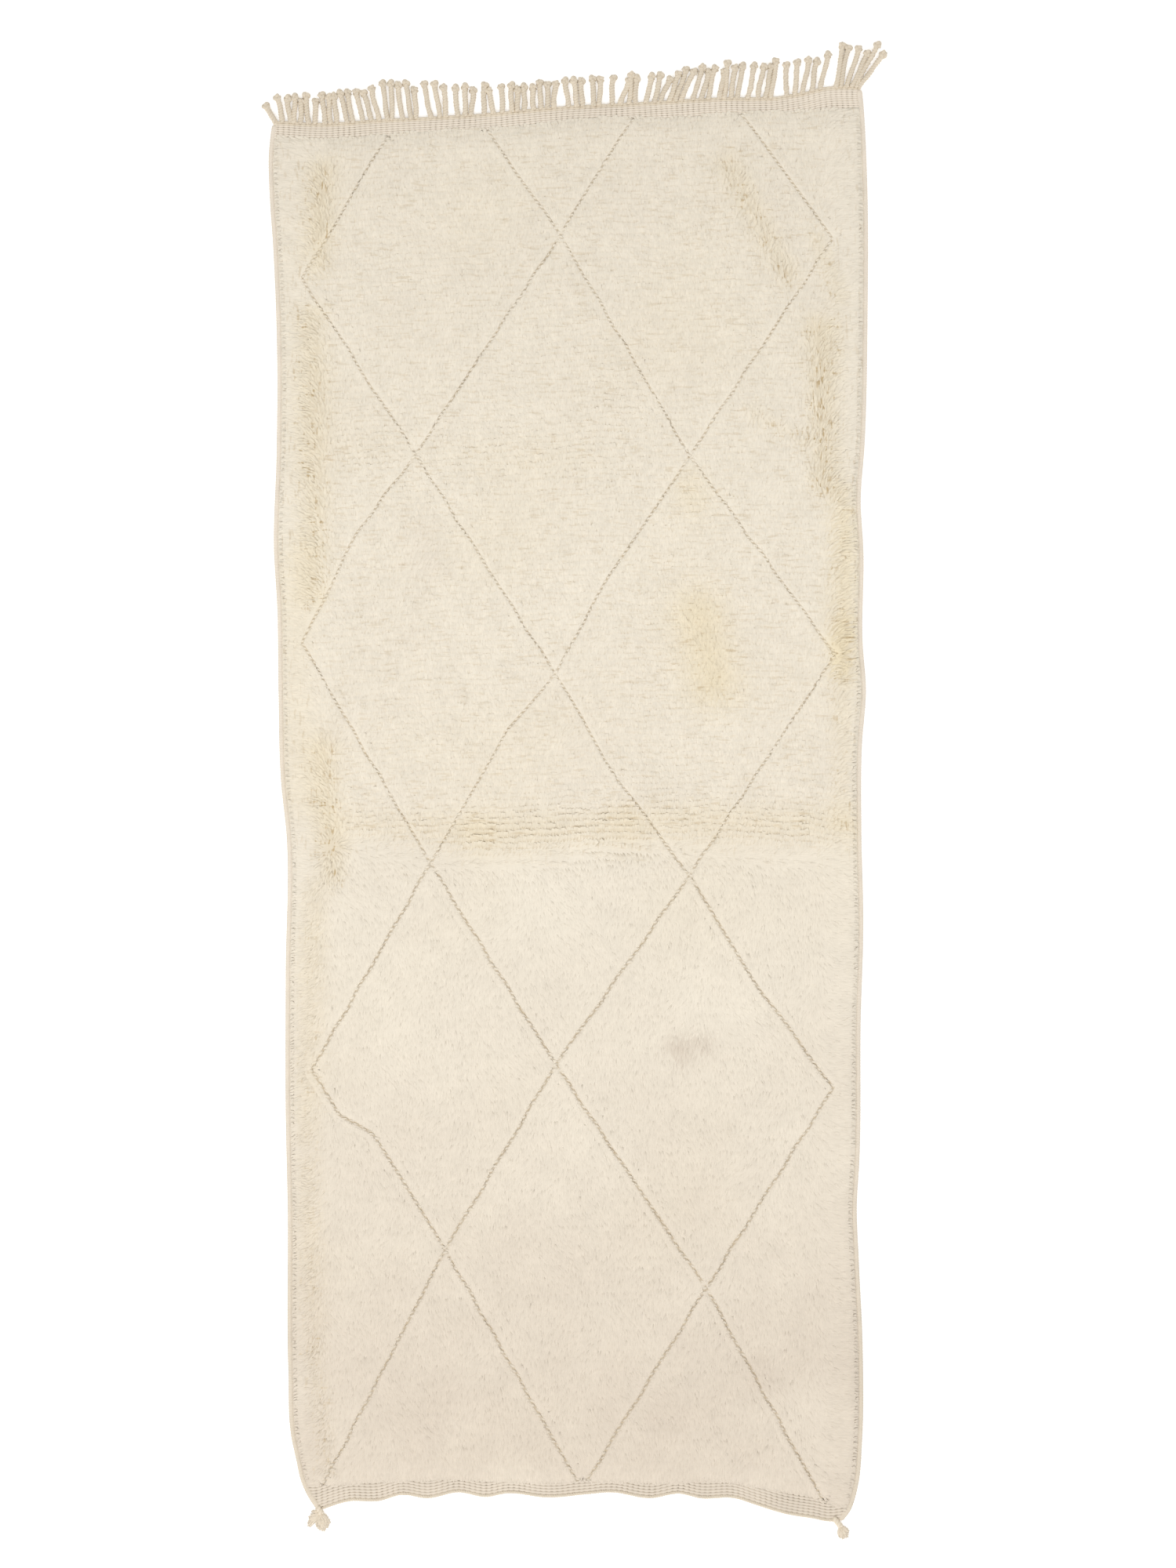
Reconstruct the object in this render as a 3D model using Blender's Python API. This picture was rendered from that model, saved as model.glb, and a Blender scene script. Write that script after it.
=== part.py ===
"""A hand-knotted wool rug: an ivory pile with a lattice of diamonds sunk into it, flat-woven
ends, an overcast cord along each side, a fringe of knotted cords at one end and a tuft of
warp ends at each corner of the other.

The rug lies flat on the plane z = 0. Its length runs along Y, with the fringe towards +Y, and
the origin is under the middle of its bounding box.

Tables hold millimetres, measured from the lower left corner of the rug's bounding box, x to
the right and y up towards the fringe. Everything else is in metres.
"""

from collections import namedtuple

import bmesh
import bpy
import numpy as np
from mathutils import Vector, noise
from mathutils.geometry import delaunay_2d_cdt

MM = 0.001
OVERALL_WIDTH = 960 * MM  # over the outermost fringe knots
OVERALL_LENGTH = 2297 * MM  # from the fringe knots to the lowest corner tuft
GAP = 0.3 * MM  # between pieces that touch

PILE_HEIGHT = 16 * MM
PILE_LUMP = 1.6 * MM
LUMP_SIZE = 75 * MM
FLAT_WEAVE = 4.5 * MM  # thickness of the two flat-woven ends
GROOVE_FLOOR = 6 * MM
GROOVE_HALF = 6.5 * MM  # from the middle of a groove to its bank
GROOVE_WAVER = 1.6 * MM
RIM_RUN = 9 * MM  # the pile rounds over in this distance from its rim
LOCK_DEPTH = 3.2 * MM  # how far the locks at the rim stand in and out
LOCK_PITCH = 22 * MM

SELVEDGE_WIDTH = 7 * MM
SELVEDGE_HEIGHT = 7.5 * MM
STRIP_WIDTH = 6 * MM  # the twined row from which the fringe hangs
STRIP_HEIGHT = 5 * MM
CORD_WIDTH = 6 * MM
KNOT_WIDTH = 9.6 * MM
KNOT_HEIGHT = 9 * MM
KNOT_LENGTH = 10.5 * MM

SIDE_STEP = 32 * MM
CORNER_STEP = 9 * MM  # between stations where the sides turn in to the lower corners
CORNER_RUN = 110 * MM
END_STEP = 15 * MM
GROOVE_STEP = 38 * MM
LUMP_STEP = 46 * MM
CLEAR_OF_EDGES = 14 * MM  # the free points of the pile keep this far from grooves and rims

Place = namedtuple("Place", "x y")

LEFT_SIDE = [
    Place(18.6, 2175), Place(13, 2120), Place(14, 2070), Place(20, 1978), Place(26, 1806),
    Place(25, 1662), Place(21, 1518), Place(26, 1430), Place(28, 1300), Place(32, 1160),
    Place(40, 1084), Place(39, 870), Place(39, 654), Place(42, 510), Place(43, 260),
    Place(48, 156), Place(55, 124), Place(63, 90), Place(74, 66), Place(87, 47),
]
RIGHT_SIDE = [
    Place(921.6, 2229), Place(924.6, 2194), Place(929.5, 2094), Place(930.5, 1878),
    Place(926, 1680), Place(920, 1590), Place(924, 1518), Place(923, 1374), Place(928, 1302),
    Place(922, 1220), Place(921, 1086), Place(924, 942), Place(920, 798), Place(918, 582),
    Place(914, 510), Place(917, 430), Place(923, 294), Place(922, 150), Place(917, 90),
    Place(911, 64), Place(904, 46), Place(893, 31),
]
FRINGE_EDGE = [
    Place(18.6, 2175), Place(102, 2172), Place(188, 2178), Place(272, 2182), Place(359, 2188),
    Place(455, 2197), Place(530, 2201), Place(618, 2206), Place(702, 2211), Place(794, 2213),
    Place(836, 2220), Place(866, 2227), Place(921.6, 2229),
]
PILE_TOP = [
    Place(16, 2151), Place(102, 2148), Place(191, 2154), Place(279, 2160), Place(367, 2164),
    Place(455, 2174), Place(530, 2181), Place(618, 2179), Place(734, 2187), Place(830, 2190),
    Place(925, 2196),
]
PILE_BOTTOM = [
    Place(60, 84), Place(88, 83), Place(176, 88), Place(285, 92), Place(443, 87),
    Place(514, 89), Place(642, 87), Place(692, 90), Place(741, 84), Place(783, 76),
    Place(840, 67), Place(880, 52), Place(925, 46),
]
BOTTOM_EDGE = [
    Place(87, 44), Place(134, 59), Place(183, 60), Place(215, 69), Place(257, 64),
    Place(303, 73), Place(348, 66), Place(374, 71), Place(443, 65), Place(500, 70),
    Place(537, 73), Place(599, 64), Place(642, 71), Place(674, 64), Place(727, 64),
    Place(765, 52), Place(805, 40), Place(847, 33), Place(874, 28.5), Place(893, 31),
]

LATTICE_POINTS = {
    "top_1": Place(196, 2150), "top_2": Place(348, 2160), "top_3": Place(572, 2178),
    "top_4": Place(736, 2185), "left_1": Place(64, 1933), "right_1": Place(877, 1993),
    "cross_1": Place(460, 1999), "cross_2": Place(238, 1663), "cross_3": Place(658, 1661),
    "left_2": Place(64, 1375), "right_2": Place(881, 1357), "cross_4": Place(452, 1327),
    "cross_5": Place(261, 1037), "cross_6": Place(658, 1019), "left_3": Place(79, 721),
    "right_3": Place(878, 694), "cross_7": Place(453, 729), "cross_8": Place(284, 446),
    "cross_9": Place(683, 387), "bottom_1": Place(97, 86), "bottom_2": Place(486, 91),
    "bottom_3": Place(500, 92), "bottom_4": Place(862, 62),
    "bow_left": Place(148, 1543), "bow_middle": Place(378, 1241), "bow_upper": Place(534, 1477),
    "bow_lower": Place(550, 1161), "bow_right": Place(768, 839), "kink_1": Place(122, 652),
    "kink_2": Place(172, 624),
}
LATTICE_LINES = [
    "top_1 left_1 cross_2 cross_4 bow_lower cross_6 bow_right right_3 cross_9 bottom_3",
    "top_2 cross_1 cross_3 right_2 cross_6 cross_7 cross_8 bottom_1",
    "top_3 cross_1 cross_2 bow_left left_2 cross_5 cross_7 cross_9 bottom_4",
    "top_4 right_1 cross_3 bow_upper cross_4 bow_middle cross_5 left_3 kink_1 kink_2 cross_8 bottom_2",
]

# A clump is a run of evenly spaced cords: where its first cord leaves the edge, how many there
# are, their spacing, how far the first and the last lean to the right, and how far each reaches.
Clump = namedtuple("Clump", "start count pitch lean_first lean_last reach_first reach_last")
FRINGE_CLUMPS = [
    Clump(21, 5, 10.2, -18, -1, 25, 33), Clump(77, 4, 10.0, -6, -1, 39, 40),
    Clump(119, 5, 12.4, 1, 2, 43, 48), Clump(194, 5, 11.4, -6, -4, 53, 44),
    Clump(260, 3, 13.2, -8, -4, 48, 46), Clump(304, 3, 9.6, -5, 2, 42, 42),
    Clump(344, 2, 16.8, 0, -5, 42, 30), Clump(372, 4, 10.0, -3, 1, 38, 32),
    Clump(420, 4, 10.4, -1, 1, 32, 36), Clump(472, 3, 10.8, -5, -2, 38, 36),
    Clump(512, 3, 13.4, -2, 1, 39, 37), Clump(550, 3, 13.8, 8, 1, 41, 36),
    Clump(591, 7, 12.0, 9, 17, 40, 47), Clump(688, 5, 14.4, 7, 12, 39, 46),
    Clump(765, 3, 9.6, 6, 7, 45, 50), Clump(807, 5, 12.6, -1, 12, 42, 50),
    Clump(880, 6, 7.4, 8, 40, 65, 47),
]
FRINGE_STAGGER = 3.2 * MM  # neighbouring cords reach this much more and less
CORD_BOW = 1.5 * MM

# A tuft hangs from a corner: rows across its twisted neck and head, then its locks. The first
# row is drawn up to the cloth's lower edge.
Row = namedtuple("Row", "x y width turn height")
Lock = namedtuple("Lock", "lean reach")
LEFT_TUFT_ROWS = [Row(99.5, 47, 8, 0, 4.5), Row(96.5, 40.5, 12, 8, 7), Row(95, 36, 15, 0, 6)]
LEFT_TUFT_LOCKS = [Lock(-15, 17), Lock(-8, 24), Lock(-1, 20), Lock(5, 26), Lock(11, 22)]
RIGHT_TUFT_ROWS = [Row(881, 28, 6, 0, 4.5), Row(886, 21.5, 6, 26, 6), Row(891, 16.5, 9, 26, 6)]
RIGHT_TUFT_LOCKS = [Lock(-5, 11), Lock(-1, 16), Lock(5, 15)]
LOCK_WIDTH = 3.4 * MM
LOCK_HEIGHT = 4.5 * MM

IVORY = (0.80, 0.74, 0.62)
FLAT_IVORY = (0.72, 0.65, 0.53)
CORD_IVORY = (0.70, 0.62, 0.49)
WOOL_ROUGHNESS = 0.95


def at_origin(places):
    """Table places as an array in metres, moved so that the bounding box is centred on the origin."""
    centre = np.array([OVERALL_WIDTH, OVERALL_LENGTH]) / 2
    return np.array([(place.x, place.y) for place in places]) * MM - centre


def smooth(along, across, where):
    """Cubic Hermite curve through the points (along, across), with central-difference slopes."""
    slopes = np.gradient(across, along)
    i = np.clip(np.searchsorted(along, where) - 1, 0, len(along) - 2)
    run = along[i + 1] - along[i]
    t = np.clip((where - along[i]) / run, 0, 1)
    start = (1 + 2 * t) * (1 - t) ** 2 * across[i] + t * (1 - t) ** 2 * run * slopes[i]
    end = t * t * (3 - 2 * t) * across[i + 1] - t * t * (1 - t) * run * slopes[i + 1]
    return start + end


def edge_across(places):
    """The y of an end edge as a function of x."""
    x, y = at_origin(places).T
    return lambda where: smooth(x, y, where)


def edge_along(places):
    """The x of a side edge as a function of y."""
    x, y = at_origin(places)[::-1].T
    return lambda where: smooth(y, x, where)


left_side = edge_along(LEFT_SIDE)
right_side = edge_along(RIGHT_SIDE)
fringe_edge = edge_across(FRINGE_EDGE)
pile_top = edge_across(PILE_TOP)
pile_bottom = edge_across(PILE_BOTTOM)
bottom_edge = edge_across(BOTTOM_EDGE)


def body_left(y):
    return left_side(y) + SELVEDGE_WIDTH + GAP


def body_right(y):
    return right_side(y) - SELVEDGE_WIDTH - GAP


def body_top(x):
    return fringe_edge(x) - STRIP_WIDTH - GAP


def meeting(side, end, y):
    """The corner where a side edge meets an end edge, found by stepping between the two."""
    for _ in range(30):
        y = float(end(side(y)))
    return float(side(y)), y


def in_steps(start, end, step):
    count = max(1, round(abs(end - start) / step))
    return np.linspace(start, end, count + 1)


def side_stations(bottom, top):
    """Heights along a side at which its body and its cord are both cut, from the bottom up."""
    turn = bottom + CORNER_RUN
    return [*in_steps(bottom, turn, CORNER_STEP)[:-1], *in_steps(turn, top, SIDE_STEP)]


def lattice_lines():
    """Each groove's middle as points GROOVE_STEP apart that waver a little from side to side."""
    lines = []
    for number, names in enumerate(LATTICE_LINES):
        corners = at_origin([LATTICE_POINTS[name] for name in names.split()])
        points = [corners[0]]
        for a, b in zip(corners[:-1], corners[1:]):
            t = in_steps(0, 1, GROOVE_STEP / np.linalg.norm(b - a))[1:, None]
            across = np.array([a[1] - b[1], b[0] - a[0]]) / np.linalg.norm(b - a)
            waver = GROOVE_WAVER * np.sin(2.4 * number + 37 * t[:-1]) * across
            points.extend(a + (b - a) * t[:-1] + waver)
            points.append(b)
        lines.append(np.array(points))
    return lines


GROOVES = lattice_lines()
GROOVE_STARTS = np.concatenate([line[:-1] for line in GROOVES])
GROOVE_RUNS = np.concatenate([np.diff(line, axis=0) for line in GROOVES])


def groove_distance(point):
    """Distance from a point to the nearest groove's middle."""
    away = point - GROOVE_STARTS
    t = np.clip((away * GROOVE_RUNS).sum(1) / (GROOVE_RUNS**2).sum(1), 0, 1)
    return float(np.linalg.norm(away - GROOVE_RUNS * t[:, None], axis=1).min())


def pile_margins(x, y):
    """Distances inside the pile from its nearer side and from its nearer end, negative outside."""
    side = min(x - body_left(y), body_right(y) - x)
    end = min(pile_top(x) - y, y - pile_bottom(x))
    return side, end


def lock_wave(along):
    return LOCK_DEPTH * np.cos(2 * np.pi * along / LOCK_PITCH)


def surface_height(x, y):
    """Height of the rug's upper face: flat at the woven ends, rounded over in locks at the
    pile's rim, lumpy over the pile and cut down to the ground along the grooves."""
    side, end = pile_margins(x, y)
    if min(side, end) < GAP:
        return FLAT_WEAVE
    reach = min(side + lock_wave(y), end + lock_wave(x))
    rise = np.clip(reach / RIM_RUN, 0.25, 1)
    rise = rise * (2 - rise)
    lumps = PILE_LUMP * noise.noise(Vector((x, y, 0.4)) / LUMP_SIZE)
    crown = FLAT_WEAVE + (PILE_HEIGHT + lumps - FLAT_WEAVE) * rise
    bank = min(groove_distance(np.array([x, y])) / GROOVE_HALF, 1)
    return GROOVE_FLOOR + (crown - GROOVE_FLOOR) * bank if crown > GROOVE_FLOOR else crown


class Plan:
    """Points and lines in the plane of the rug, from which its upper face is triangulated."""

    def __init__(self):
        self.points = []
        self.lines = []

    def add_line(self, places, closed=False):
        first = len(self.points)
        self.points.extend((float(x), float(y)) for x, y in places)
        numbers = list(range(first, len(self.points)))
        ends = numbers[1:] + numbers[:1] if closed else numbers[1:]
        self.lines.extend(zip(numbers, ends))
        return numbers


def outline_places():
    """The body's outline, anticlockwise from its lower left corner."""
    lower_left = meeting(body_left, bottom_edge, -1.1)
    lower_right = meeting(body_right, bottom_edge, -1.1)
    upper_left = meeting(body_left, body_top, 1.0)
    upper_right = meeting(body_right, body_top, 1.0)
    left_foot = meeting(body_left, pile_bottom, -1.0)[1]
    right_foot = meeting(body_right, pile_bottom, -1.0)[1]
    left_head = meeting(body_left, pile_top, 1.0)[1]
    right_head = meeting(body_right, pile_top, 1.0)[1]
    bottom_x = in_steps(lower_left[0], lower_right[0], END_STEP)
    right_y = sorted({*side_stations(lower_right[1], upper_right[1]), right_foot, right_head})[1:-1]
    top_x = in_steps(upper_right[0], upper_left[0], END_STEP)
    left_y = sorted({*side_stations(lower_left[1], upper_left[1]), left_foot, left_head})[-2:0:-1]
    places = [(x, bottom_edge(x)) for x in bottom_x]
    places += [(body_right(y), y) for y in right_y]
    places += [(x, body_top(x)) for x in top_x]
    places += [(body_left(y), y) for y in left_y]
    feet = {
        "left_foot": (body_left(left_foot), left_foot), "right_foot": (body_right(right_foot), right_foot),
        "left_head": (body_left(left_head), left_head), "right_head": (body_right(right_head), right_head),
    }
    return places, feet


def add_band_line(plan, outline, start, end, edge):
    """The foot of the pile along one woven end, between two points of the outline."""
    first = outline[start]
    last = outline[end]
    x = in_steps(plan.points[first][0], plan.points[last][0], SIDE_STEP)[1:-1]
    middle = plan.add_line(zip(x, edge(x)))
    plan.lines += [(first, middle[0]), (middle[-1], last)]


def add_rim(plan, inset):
    """The crown of the locks round the pile: a loop inset from its edge, with a point on each
    lock and one between it and the next."""
    bottom_left = meeting(lambda y: body_left(y) + inset, lambda x: pile_bottom(x) + inset, -1.0)
    bottom_right = meeting(lambda y: body_right(y) - inset, lambda x: pile_bottom(x) + inset, -1.0)
    top_left = meeting(lambda y: body_left(y) + inset, lambda x: pile_top(x) - inset, 1.0)
    top_right = meeting(lambda y: body_right(y) - inset, lambda x: pile_top(x) - inset, 1.0)

    def stations(start, end):
        low, high = sorted((start, end))
        half = LOCK_PITCH / 2
        found = half * np.arange(np.ceil(low / half + 0.4), np.floor(high / half - 0.4) + 1)
        return found if start < end else found[::-1]

    places = [bottom_left]
    places += [(x, pile_bottom(x) + inset) for x in stations(bottom_left[0], bottom_right[0])]
    places.append(bottom_right)
    places += [(body_right(y) - inset, y) for y in stations(bottom_right[1], top_right[1])]
    places.append(top_right)
    places += [(x, pile_top(x) - inset) for x in stations(top_right[0], top_left[0])]
    places.append(top_left)
    places += [(body_left(y) + inset, y) for y in stations(top_left[1], bottom_left[1])]
    plan.add_line(places, closed=True)


def add_groove(plan, number):
    """A groove's middle as one line, and its banks wherever no other groove crosses them."""
    line = GROOVES[number]
    plan.add_line([place for place in line if pile_margins(*place)[1] > 2 * GAP])
    along = np.gradient(line, axis=0)
    across = np.stack([-along[:, 1], along[:, 0]], 1) / np.linalg.norm(along, axis=1)[:, None]
    for side in (-1, 1):
        bank = line + side * GROOVE_HALF * across
        run = []
        for place in bank:
            clear = groove_distance(place) > 0.93 * GROOVE_HALF
            inside = min(pile_margins(*place)) > RIM_RUN
            if clear and inside:
                run.append(place)
                continue
            plan.add_line(run)
            run = []
        plan.add_line(run)


def add_lumps(plan):
    """Free points over the pile on a shaken grid, clear of the grooves and the rim."""
    for row, y in enumerate(np.arange(-OVERALL_LENGTH / 2, OVERALL_LENGTH / 2, LUMP_STEP)):
        for x in np.arange(-OVERALL_WIDTH / 2, OVERALL_WIDTH / 2, LUMP_STEP):
            shift = noise.noise_vector(Vector((x * 31, y * 31, row * 0.7)))
            place = np.array([x + (row % 2) * LUMP_STEP / 2, y]) + np.array(shift[:2]) * LUMP_STEP * 0.35
            clear = min(*pile_margins(*place), groove_distance(place)) > CLEAR_OF_EDGES
            if clear:
                plan.add_line([place])


def upper_face():
    """The triangulated plan of the rug's body, as points, triangles and the outline's numbers."""
    plan = Plan()
    places, feet = outline_places()
    outline = plan.add_line(places)
    numbers = {name: outline[places.index(foot)] for name, foot in feet.items()}
    add_band_line(plan, numbers, "left_foot", "right_foot", pile_bottom)
    add_band_line(plan, numbers, "left_head", "right_head", pile_top)
    add_rim(plan, RIM_RUN / 2)
    for number in range(len(GROOVES)):
        add_groove(plan, number)
    add_lumps(plan)
    inside_constraints = 1
    points, _, faces, *_ = delaunay_2d_cdt(
        [Vector(point) for point in plan.points], plan.lines, [outline], inside_constraints, 1e-5
    )
    return [tuple(point) for point in points], [tuple(face) for face in faces]


def slab_mesh(points, faces, height):
    """A closed solid between the plane z = 0 and a height over each point of a triangulated plan."""
    count = len(points)
    verts = [(x, y, height(x, y)) for x, y in points] + [(x, y, 0) for x, y in points]
    below = [tuple(number + count for number in reversed(face)) for face in faces]
    directed = {(face[i], face[(i + 1) % 3]) for face in faces for i in range(3)}
    rim = [(a, b) for a, b in directed if (b, a) not in directed]
    walls = [(b, a, a + count, b + count) for a, b in sorted(rim)]
    return verts, list(faces) + below + walls


def wool(name, colour):
    material = bpy.data.materials.new(name)
    material.use_nodes = True
    shader = material.node_tree.nodes["Principled BSDF"]
    shader.inputs["Base Color"].default_value = (*colour, 1)
    shader.inputs["Roughness"].default_value = WOOL_ROUGHNESS
    shader.inputs["Metallic"].default_value = 0
    return material


def add_object(name, verts, faces, material):
    """A mesh object whose faces are all turned to point outwards."""
    mesh = bpy.data.meshes.new(name)
    mesh.from_pydata([tuple(float(value) for value in vert) for vert in verts], [], faces)
    work = bmesh.new()
    work.from_mesh(mesh)
    bmesh.ops.recalc_face_normals(work, faces=work.faces)
    work.to_mesh(mesh)
    work.free()
    mesh.materials.append(material)
    made = bpy.data.objects.new(name, mesh)
    bpy.context.scene.collection.objects.link(made)
    return made


def make_body():
    points, faces = upper_face()
    verts, faces = slab_mesh(points, faces, surface_height)
    return add_object("rug_body", verts, faces, wool("ivory_pile", IVORY))


def selvedge_rings(side, inward, start, end):
    """Cross-sections of a side cord, each a flat-bottomed arch between the rug's outer edge and
    SELVEDGE_WIDTH inside it, stepped along y."""
    arch = [(0, 0), (0, 0.6), (0.5, 1), (1, 0.6), (1, 0)]
    rings = []
    for y in side_stations(start, end):
        height = SELVEDGE_HEIGHT * (1 + 0.06 * np.sin(61 * y))
        ring = [(side(y) + inward * share * SELVEDGE_WIDTH, y, rise * height) for share, rise in arch]
        rings.append(ring)
    return rings


def make_tube(name, rings, material):
    """A closed solid through a run of equal rings, with a flat cap at each end."""
    size = len(rings[0])
    verts = [vert for ring in rings for vert in ring]
    faces = []
    for i in range(len(rings) - 1):
        for j in range(size):
            k = (j + 1) % size
            faces.append((i * size + j, i * size + k, (i + 1) * size + k, (i + 1) * size + j))
    faces.append(tuple(range(size)))
    faces.append(tuple(len(verts) - size + j for j in range(size)))
    return add_object(name, verts, faces, material)


def make_selvedges():
    material = wool("overcast_cord", FLAT_IVORY)
    for name, side, inward, upper in (
        ("selvedge_left", left_side, 1, LEFT_SIDE[0]),
        ("selvedge_right", right_side, -1, RIGHT_SIDE[0]),
    ):
        foot = meeting(lambda y: side(y) + inward * (SELVEDGE_WIDTH + GAP), bottom_edge, -1.1)[1]
        head = at_origin([upper])[0][1] - STRIP_WIDTH - 2 * GAP
        make_tube(name, selvedge_rings(side, inward, foot, head), material)


def cord_rings(root, tip, bow, sizes):
    """Square cross-sections along a bowed line on the floor. sizes holds, for each ring, how far
    along it lies, its width and its height."""
    run = tip - root
    across = np.array([run[1], -run[0]]) / np.linalg.norm(run)
    rings = []
    for share, width, height in sizes:
        middle = root + run * share + across * bow * np.sin(np.pi * share)
        left = middle - across * width / 2
        right = middle + across * width / 2
        rings.append([(*left, 0), (*right, 0), (*right, height), (*left, height)])
    return rings


def fringed_patch(rows, heights, roots, strands):
    """A flat patch of cloth with strands drawn from its last row, as one closed solid. rows is
    an array of rows by columns of points, heights gives each row's thickness, roots lists the
    column at which each strand starts, and strands holds each strand's further rings."""
    row_count, column_count = rows.shape[:2]
    verts = []
    for row, height in zip(rows, heights):
        verts += [(*point, 0) for point in row]
        verts += [(*point, height) for point in row]

    def low(i, j):
        return 2 * i * column_count + j

    def high(i, j):
        return low(i, j) + column_count

    faces = []
    last = row_count - 1
    for i in range(last):
        for j in range(column_count - 1):
            faces.append((high(i, j), high(i, j + 1), high(i + 1, j + 1), high(i + 1, j)))
            faces.append((low(i, j), low(i + 1, j), low(i + 1, j + 1), low(i, j + 1)))
        for j in (0, column_count - 1):
            faces.append((low(i, j), low(i + 1, j), high(i + 1, j), high(i, j)))
    for j in range(column_count - 1):
        faces.append((low(0, j), low(0, j + 1), high(0, j + 1), high(0, j)))
        if j not in roots:
            faces.append((low(last, j), low(last, j + 1), high(last, j + 1), high(last, j)))
    for root, rings in zip(roots, strands):
        ring = [low(last, root), low(last, root + 1), high(last, root + 1), high(last, root)]
        for corners in rings:
            following = [len(verts) + k for k in range(4)]
            verts += corners
            for k in range(4):
                faces.append((ring[k], ring[(k + 1) % 4], following[(k + 1) % 4], following[k]))
            ring = following
        faces.append(tuple(ring))
    return verts, faces


def fringe_cords():
    """Root and tip of every cord, from left to right."""
    cords = []
    for clump in FRINGE_CLUMPS:
        for i in range(clump.count):
            share = i / max(clump.count - 1, 1)
            x = at_origin([Place(clump.start + i * clump.pitch, 0)])[0][0]
            lean = (clump.lean_first + (clump.lean_last - clump.lean_first) * share) * MM
            reach = (clump.reach_first + (clump.reach_last - clump.reach_first) * share) * MM
            reach += FRINGE_STAGGER * (-1) ** len(cords)
            root = np.array([x, float(fringe_edge(x))])
            cords.append((root, root + np.array([lean, reach])))
    return cords


def make_fringe():
    cords = fringe_cords()
    rings = []
    for number, (root, tip) in enumerate(cords):
        length = np.linalg.norm(tip - root)
        knot = 1 - KNOT_LENGTH / length
        bow = CORD_BOW * np.sin(2.1 * number)
        sizes = [
            (0.3, CORD_WIDTH, CORD_WIDTH * 0.95), (0.62, CORD_WIDTH * 0.92, CORD_WIDTH * 0.9),
            (knot, CORD_WIDTH * 0.85, CORD_WIDTH * 0.9),
            (knot + 0.28 * (1 - knot), KNOT_WIDTH, KNOT_HEIGHT),
            (knot + 0.72 * (1 - knot), KNOT_WIDTH, KNOT_HEIGHT), (1.0, CORD_WIDTH * 0.7, CORD_WIDTH * 0.7),
        ]
        rings.append(cord_rings(root, tip, bow, sizes))
    ends = at_origin([FRINGE_EDGE[0], FRINGE_EDGE[-1]])[:, 0]
    x = sorted([*ends, *(root[0] + side * CORD_WIDTH / 2 for root, _ in cords for side in (-1, 1))])
    x = np.array(x)
    front = np.stack([x, fringe_edge(x)], 1)
    rows = np.array([front - [0, STRIP_WIDTH], front])
    roots = list(range(1, len(x) - 1, 2))
    verts, faces = fringed_patch(rows, [STRIP_HEIGHT, STRIP_HEIGHT], roots, rings)
    return add_object("fringe", verts, faces, wool("twisted_warp_cord", CORD_IVORY))


def make_tuft(name, rows, locks, material):
    """A twisted neck that widens into a head, with a spray of tapering locks."""
    columns = 2 * len(locks)
    patch = []
    for row in rows:
        turn = np.radians(row.turn)
        share = np.linspace(-0.5, 0.5, columns)[:, None]
        middle = at_origin([Place(row.x, row.y)])[0]
        patch.append(middle + share * row.width * MM * np.array([np.cos(turn), np.sin(turn)]))
    patch = np.array(patch)
    patch[0, :, 1] = bottom_edge(patch[0, :, 0]) - 1.1 * GAP
    roots = list(range(0, columns - 1, 2))
    strands = []
    for root, lock in zip(roots, locks):
        start = patch[-1][root : root + 2].mean(0)
        tip = start + np.array([lock.lean, -lock.reach]) * MM
        sizes = [
            (0.35, LOCK_WIDTH, LOCK_HEIGHT), (0.75, LOCK_WIDTH * 1.1, LOCK_HEIGHT * 0.8),
            (1.0, LOCK_WIDTH * 0.5, LOCK_HEIGHT * 0.45),
        ]
        rings = cord_rings(start, tip, 0, sizes)
        strands.append([[ring[1], ring[0], ring[3], ring[2]] for ring in rings])
    verts, faces = fringed_patch(patch, [row.height * MM for row in rows], roots, strands)
    return add_object(name, verts, faces, material)


def main():
    for old in list(bpy.data.objects):
        bpy.data.objects.remove(old)
    make_body()
    make_selvedges()
    make_fringe()
    tuft_wool = wool("brushed_warp_ends", CORD_IVORY)
    make_tuft("corner_tuft_left", LEFT_TUFT_ROWS, LEFT_TUFT_LOCKS, tuft_wool)
    make_tuft("corner_tuft_right", RIGHT_TUFT_ROWS, RIGHT_TUFT_LOCKS, tuft_wool)


main()
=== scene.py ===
"""Looks for a hand-knotted wool rug: an ivory pile with a sunken lattice of diamonds, flat-woven
ends, overcast side cords, a fringe of knotted cords and two corner tufts of warp ends.

Tables hold millimetres from the lower left corner of the rug's bounding box, x to the right and
y up towards the fringe. Everything else is in metres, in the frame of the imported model.
"""

from collections import namedtuple

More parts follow.
